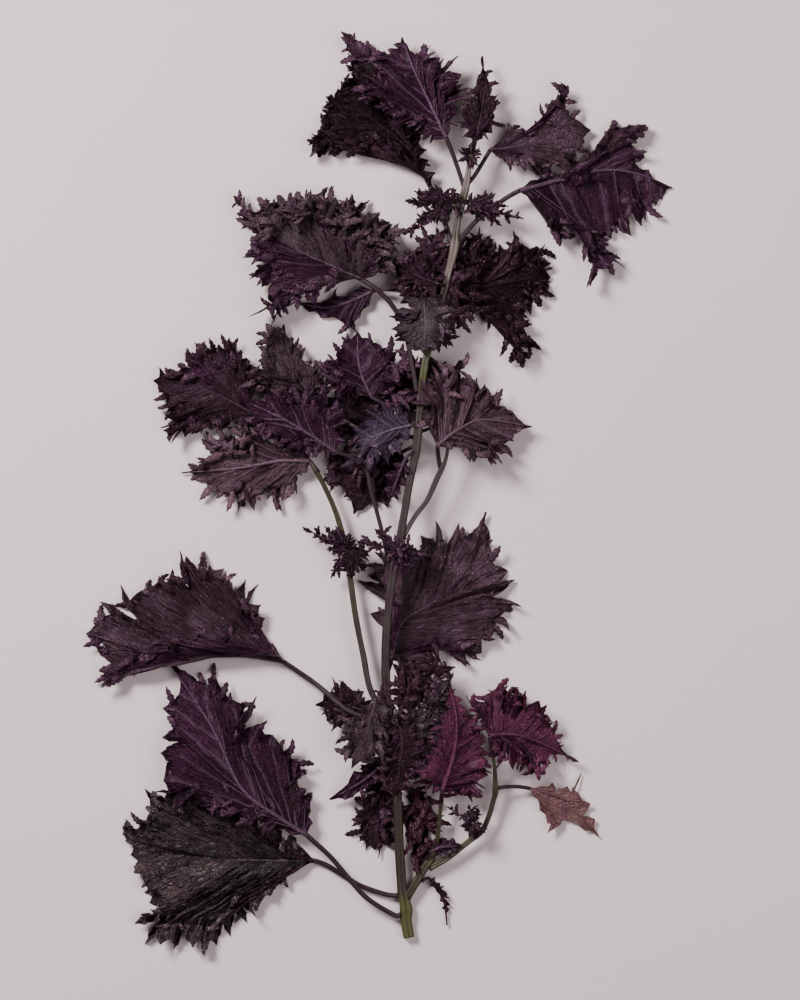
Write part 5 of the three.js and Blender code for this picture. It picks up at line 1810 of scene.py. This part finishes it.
@dataclass
class Leaf:
    """A leaf with its blade, midrib, side veins and stalk."""

    plan: LeafPlan
    seed: float
    thickness: float = 0.42
    stalk_least: float = 0.5
    stalk_growth: float = 0.013
    stalk_most: float = 1.35
    stalk_pitch: float = 1.4
    stalk_sides: int = 12
    rib_pitch: float = 1.8
    ruff_width: float = 1.35
    ruff_thickness: float = 0.34
    ruff_spread: float = 7.0

    def build(self, finishes: dict[str, bpy.types.Material]) -> bpy.types.Object:
        """Makes the piece and gives it its finishes.

        Args:
            finishes: The materials by name.

        Returns:
            The new object.
        """
        surface = NodeSurface(self.plan.name)
        rib_height = RibHeight(self.plan, surface)
        sheet = Sheet(f"{self.plan.name}_blade", VALUES)
        for hand in (1, -1):
            turned = hand == self.plan.folded
            upper, lower = (OTHER, FACE) if turned else (FACE, OTHER)
            half = HalfBlade(self.plan, hand, self.seed + hand, crumpled=0.25 if turned else 1.0)
            half.lattice(surface, rib_height)
            sheet.thicken(sheet.lay(half.places, upper, **half.values), self.thickness, lower)
            Fringe(half).lay(sheet, upper, lower, self.thickness * 0.8)
            if self.plan.look.is_under or self.plan.look is Look.AGED:
                self.raise_veins(sheet, half)
        self.lay_rib(sheet, rib_height)
        self.lay_ruffs(sheet)
        face = FACES[self.plan.look].name
        is_dark = self.plan.look.is_under or self.plan.look in (Look.BLACK, Look.BRONZE)
        other = UPPER_FACE.name if is_dark else UNDER_FACE.name
        if self.plan.folded:
            other = FACES[Look.PURPLE].name
        elif self.plan.look is Look.AGED:
            other = face
        slots = [finishes[face], finishes[other], finishes[STALK.name]]
        return sheet.piece(slots, self.plan.name)

    def lay_ruffs(self, sheet: Sheet) -> None:
        """Lays the crowds of curled fingers inside the outline.

        Args:
            sheet: The mesh in the making.
        """
        made = []
        base = squares(*self.plan.rib[0])
        for number, (x, y, z, count, length) in enumerate(self.plan.ruffs):
            centre = Vector((*squares(x, y), z))
            away = math.atan2(centre.y - base.y, centre.x - base.x)
            crown = Fringe(None, length=length * 1.3, width=self.ruff_width, lift=0.6)
            for k in range(int(count)):
                place = CROWD_TURN * k + number
                aside = Vector((math.cos(place), math.sin(place), 0))
                start = centre + aside * (self.ruff_spread * draw(k, self.seed + 6))
                angle = away + 2.2 * (draw(k * 1.9, self.seed + 9) - 0.5)
                out = Vector((math.cos(angle), math.sin(angle)))
                size = 0.6 + 0.6 * draw(k, self.seed)
                made += crown.finger(sheet, start, out, size, self.seed + k * 1.7, FACE)
        if made:
            sheet.thicken(made, self.ruff_thickness, OTHER)

    def raise_veins(self, sheet: Sheet, half: HalfBlade) -> None:
        """Lays the raised side veins of an underside.

        Args:
            sheet: The mesh in the making.
            half: The half of the blade that they lie on.
        """
        for column in half.veins:
            rows = range(0, int(half.places.shape[1] * 0.72), 2)
            line = [Vector(half.places[column, row]) + Vector((0, 0, 0.05)) for row in rows]
            radii = [0.34 - 0.22 * k / (len(line) - 1) for k in range(len(line))]
            sheet.tube(line, radii, 5, FACE, vein=1.0, edge=0.3)

    def lay_rib(self, sheet: Sheet, rib_height: RibHeight) -> None:
        """Lays the stalk and the midrib as tapering tubes.

        Args:
            sheet: The mesh in the making.
            rib_height: Height of the rib.
        """
        rib = [squares(x, y) for x, y in self.plan.rib]
        length = length_of(rib)
        thick = min(self.stalk_least + self.stalk_growth * length, self.stalk_most)
        proud = 0.25 if self.plan.look.is_under else -0.75
        base = rib[0]
        base_height = float(rib_height.at(np.array([0.0]))[0])
        path = [Vector((*squares(x, y), z)) for x, y, z in self.plan.stalk]
        path.append(Vector((*base, base_height + proud * thick)))
        steps = max(4, round(length_of(path) / self.stalk_pitch))
        line = [curve_point(path, k / steps) for k in range(steps)]
        radii = [thick * (1.12 - 0.12 * min(1, k / 3)) for k in range(steps)]
        green = [0.35 * (1 - k / steps) for k in range(steps)]
        line.append(path[-1])
        radii.append(thick * 0.85)
        green.append(0.0)
        sheet.tube(
            line, radii, self.stalk_sides, SHOOT, groove=0.07, green=np.array(green)[:, None],
            **skin_values(len(line), self.stalk_sides, 0.2),
        )
        ribs = max(8, round(length / self.rib_pitch))
        places = [0.97 * k / ribs for k in range(ribs + 1)]
        heights = rib_height.at(np.array(places))
        taper = 0.8 if self.plan.look.is_under else 1.8
        radii = [thick * 0.85 * (1 - u) ** taper + 0.16 for u in places]
        line = [
            Vector((*curve_point(rib, u), float(height) + proud * radius))
            for u, height, radius in zip(places, heights, radii)
        ]
        sheet.tube(line, radii, 8, FACE, vein=0.8, edge=0.2)


@dataclass(frozen=True)
class BladeLine:
    """Height of a small blade that rises or falls evenly from its base to its tip."""

    base: Vector
    tip: Vector
    arch: float = 1.2

    def top(self, x: float, y: float) -> float:
        """Height over a place in mm."""
        run = self.tip.xy - self.base.xy
        t = (Vector((x, y)) - self.base.xy).dot(run) / max(run.length_squared, NO_LENGTH)
        arch = self.arch * math.sin(math.pi * min(max(t, 0), 1))
        return self.base.z + (self.tip.z - self.base.z) * t + arch


@dataclass
class Tuft:
    """A tuft of young leaves round the end of a shoot."""

    plan: TuftPlan
    seed: float
    fingers: int = 16
    finger_thickness: float = 0.3
    blade_thickness: float = 0.35
    bud: Squares = ((-1.6, 1.0), (-0.8, 1.7), (0.2, 1.6), (0.9, 0.5))

    def build(self, finishes: dict[str, bpy.types.Material]) -> bpy.types.Object:
        """Makes the piece and gives it its finishes.

        Args:
            finishes: The materials by name.

        Returns:
            The new object.
        """
        sheet = Sheet(f"{self.plan.name}_leaves", VALUES)
        centre = Vector((*squares(*self.plan.centre[:2]), self.plan.centre[2]))
        for k, (x, y, half_width, z) in enumerate(self.plan.blades):
            tip = Vector((*squares(x, y), z))
            self.lay_blade(sheet, centre, tip, half_width, self.seed + k)
        crown = Fringe(None, length=7.5, width=1.0, rings=6)
        made = []
        for k in range(self.fingers):
            angle = CROWD_TURN * k
            out = Vector((math.cos(angle), math.sin(angle)))
            size = 0.6 + 0.6 * draw(k, self.seed)
            made += crown.finger(sheet, centre, out, size, self.seed + k * 1.7, FACE)
        sheet.thicken(made, self.finger_thickness, OTHER)
        rings = [centre + Vector((0, 0, height)) for height, _ in self.bud]
        sheet.tube(rings, [radius for _, radius in self.bud], 8, SHOOT, green=0.6)
        other = UPPER_FACE.name if self.plan.look.is_under else UNDER_FACE.name
        slots = [finishes[FACES[self.plan.look].name], finishes[other], finishes[STALK.name]]
        return sheet.piece(slots, self.plan.name)

    def lay_blade(self, sheet: Sheet, centre: Vector, tip: Vector, half_width: float, seed: float) -> None:
        """Lays one young leaf.

        Args:
            sheet: The mesh in the making.
            centre: Centre of the tuft.
            tip: Tip of the leaf.
            half_width: Half its width in squares of the paper.
            seed: Number that its waves follow.
        """
        x0, y0 = centre.x / GRID + SHEET_X, SHEET_Y - centre.y / GRID
        x1, y1 = tip.x / GRID + SHEET_X, SHEET_Y - tip.y / GRID
        length = math.hypot(x1 - x0, y1 - y0)
        across = ((y1 - y0) / length, -(x1 - x0) / length)

        def beside(share: float, width: float) -> tuple[float, float]:
            """A point of the paper at a share of the leaf's length and a distance from its rib."""
            return (x0 + (x1 - x0) * share + across[0] * width, y0 + (y1 - y0) * share + across[1] * width)

        sides = [
            tuple(beside(t, hand * half_width * w)
                  for t, w in ((0.18, 0.7), (0.42, 1.5), (0.7, 1.25), (0.9, 0.6)))
            for hand in (1, -1)
        ]
        bow = beside(0.5, half_width * 0.3 * ripple(seed, 4))
        plan = LeafPlan(
            self.plan.name, self.plan.look, 1.1, ((x0, y0), bow, (x1, y1)), sides[0], sides[1], (), lobe=3.2,
        )
        surface = BladeLine(centre, tip)
        rib_height = RibHeight(plan, surface)
        for hand in (1, -1):
            half = HalfBlade(plan, hand, seed + hand, column_pitch=1.6, inner_rows=5, outer_rows=4,
                             tooth=2.2, crumpled=0.5)
            half.lattice(surface, rib_height)
            sheet.thicken(sheet.lay(half.places, FACE, **half.values), self.blade_thickness, OTHER)
            fringe = Fringe(half, pitch=2.0, length=4.6, width=0.8, rings=5, least=2.2)
            fringe.lay(sheet, FACE, OTHER, self.finger_thickness)


@dataclass
class Stem:
    """A four-edged stem with swollen nodes."""

    plan: StemPlan
    nodes: tuple[Vector, ...]
    ring_pitch: float = 1.8
    sides: int = 32
    groove: float = 0.1
    node_length: float = 2.6
    green_stops: Squares = ((1000, 0.7), (0, 0.7))
    # Where up the paper a painted highlight lightens the stem, from 0 for none to 1
    blush_stops: Squares = (
        (150, 0.5), (165, 0.85), (188, 0.8), (198, 0.15), (214, 0.1), (224, 0.35), (238, 0.1), (246, 0.85),
        (275, 0.95), (292, 0.6), (320, 0.0),
    )

    def build(self, finishes: dict[str, bpy.types.Material]) -> bpy.types.Object:
        """Makes the piece and gives it its finishes.

        Args:
            finishes: The materials by name.

        Returns:
            The new object.
        """
        rows = [Vector((*squares(x, y), z)) for x, y, z, _ in self.plan.rows]
        sizes = [Vector((row[3], 0)) for row in self.plan.rows]
        steps = max(6, round(length_of(rows) / self.ring_pitch))
        line = [curve_point(rows, k / steps) for k in range(steps + 1)]
        radii = []
        for k, centre in enumerate(line):
            radius = curve_point(sizes, k / steps).x
            nearest = min((centre.xy - node).length for node in self.nodes)
            swell = math.exp(-((nearest / self.node_length) ** 2))
            radii.append(radius * (0.97 + 0.14 * swell + 0.03 * ripple(k * 0.21, 3)))
        green = along_paper(self.green_stops, line)
        blush = along_paper(self.blush_stops, line)
        sheet = Sheet(f"{self.plan.name}_skin", VALUES)
        sheet.tube(
            line, radii, self.sides, SKIN, groove=self.groove, cut_slot=CUT, green=green[:, None],
            blush=blush[:, None], **skin_values(len(line), self.sides, 0.12),
        )
        return sheet.piece([finishes[STEM.name], finishes[PITH.name]], self.plan.name)


GREENNESS = {
    "main_stem": (
        (937, 1.0), (905, 1.0), (885, 0.5), (820, 0.35), (700, 0.15), (600, 0.12), (480, 0.25), (400, 0.5),
        (375, 0.8), (345, 0.75), (320, 0.5), (285, 0.45), (250, 0.45), (215, 0.6), (150, 0.4),
    ),
    "side_stem_left": ((716, 0.15), (640, 0.35), (540, 0.65), (466, 0.7)),
    "side_stem_right": ((549, 0.15), (446, 0.1)),
    "side_stem_lower": ((897, 0.65), (790, 0.6)),
    "side_stem_lower_right": ((868, 0.6), (742, 0.5)),
}


@dataclass(frozen=True)
class Studio:
    """The plain floor, the soft lights and the camera straight above."""

    floor_size: float = 6.0
    camera_height: float = 2.5
    lens: float = 180.0
    centre_x: float = 400.0
    centre_y: float = 500.0
    sky: float = 0.15

    def build(self, finishes: dict[str, bpy.types.Material]) -> None:
        """Sets up what the sprig lies on and is seen by.

        Args:
            finishes: The materials by name.
        """
        sheet = bmesh.new()
        bmesh.ops.create_grid(sheet, x_segments=1, y_segments=1, size=self.floor_size / 2)
        data = bpy.data.meshes.new("floor")
        sheet.to_mesh(data)
        sheet.free()
        floor = bpy.data.objects.new("floor", data)
        data.materials.append(finishes[FLOOR.name])
        bpy.context.scene.collection.objects.link(floor)
        self.light("key_light", place=(-0.85, 0.8, 1.15), size=0.5, power=48.0)
        self.light("fill_light", place=(0.9, -0.2, 1.4), size=1.2, power=15.0)
        world = bpy.data.worlds.new("studio")
        world.use_nodes = True
        background = world.node_tree.nodes["Background"]
        background.inputs["Color"].default_value = (1.0, 0.98, 0.97, 1.0)
        background.inputs["Strength"].default_value = self.sky
        bpy.context.scene.world = world
        place = squares(self.centre_x, self.centre_y) * MM
        camera = bpy.data.objects.new("camera", bpy.data.cameras.new("camera"))
        camera.data.lens = self.lens
        camera.data.sensor_width = 36.0
        camera.location = (place.x, place.y, self.camera_height)
        bpy.context.scene.collection.objects.link(camera)
        bpy.context.scene.camera = camera

    @staticmethod
    def light(name: str, place: tuple[float, float, float], size: float, power: float) -> None:
        """Adds a soft square light that faces the sprig.

        Args:
            name: Name of the light.
            place: Its place in metres.
            size: Its side in metres.
            power: Its power in watts.
        """
        data = bpy.data.lights.new(name, "AREA")
        data.size = size
        data.energy = power
        lamp = bpy.data.objects.new(name, data)
        lamp.location = place
        lamp.rotation_euler = Vector(place).to_track_quat("Z", "Y").to_euler()
        bpy.context.scene.collection.objects.link(lamp)


def main() -> None:
    """Builds the sprig piece by piece, reports each piece and sets up the studio."""
    logging.basicConfig(level=logging.INFO, format="%(message)s")
    groups = Groups()
    finishes = {item.name: item.material(groups) for item in (*FACES.values(), STALK, STEM, PITH, FLOOR)}
    seats = tuple(squares(*plan.stalk[0][:2]) for plan in LEAVES)
    parts = [
        *(Stem(plan, seats, green_stops=GREENNESS[plan.name]) for plan in STEMS),
        *(Leaf(plan, number * 3.1 + 1) for number, plan in enumerate(LEAVES)),
        *(Tuft(plan, number * 11.7 + 500) for number, plan in enumerate(TUFTS)),
    ]
    for part in parts:
        piece = part.build(finishes)
        log.info("%s: %d faces", piece.name, len(piece.data.polygons))
    Studio().build(finishes)
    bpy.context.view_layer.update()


if __name__ == "__main__":
    main()
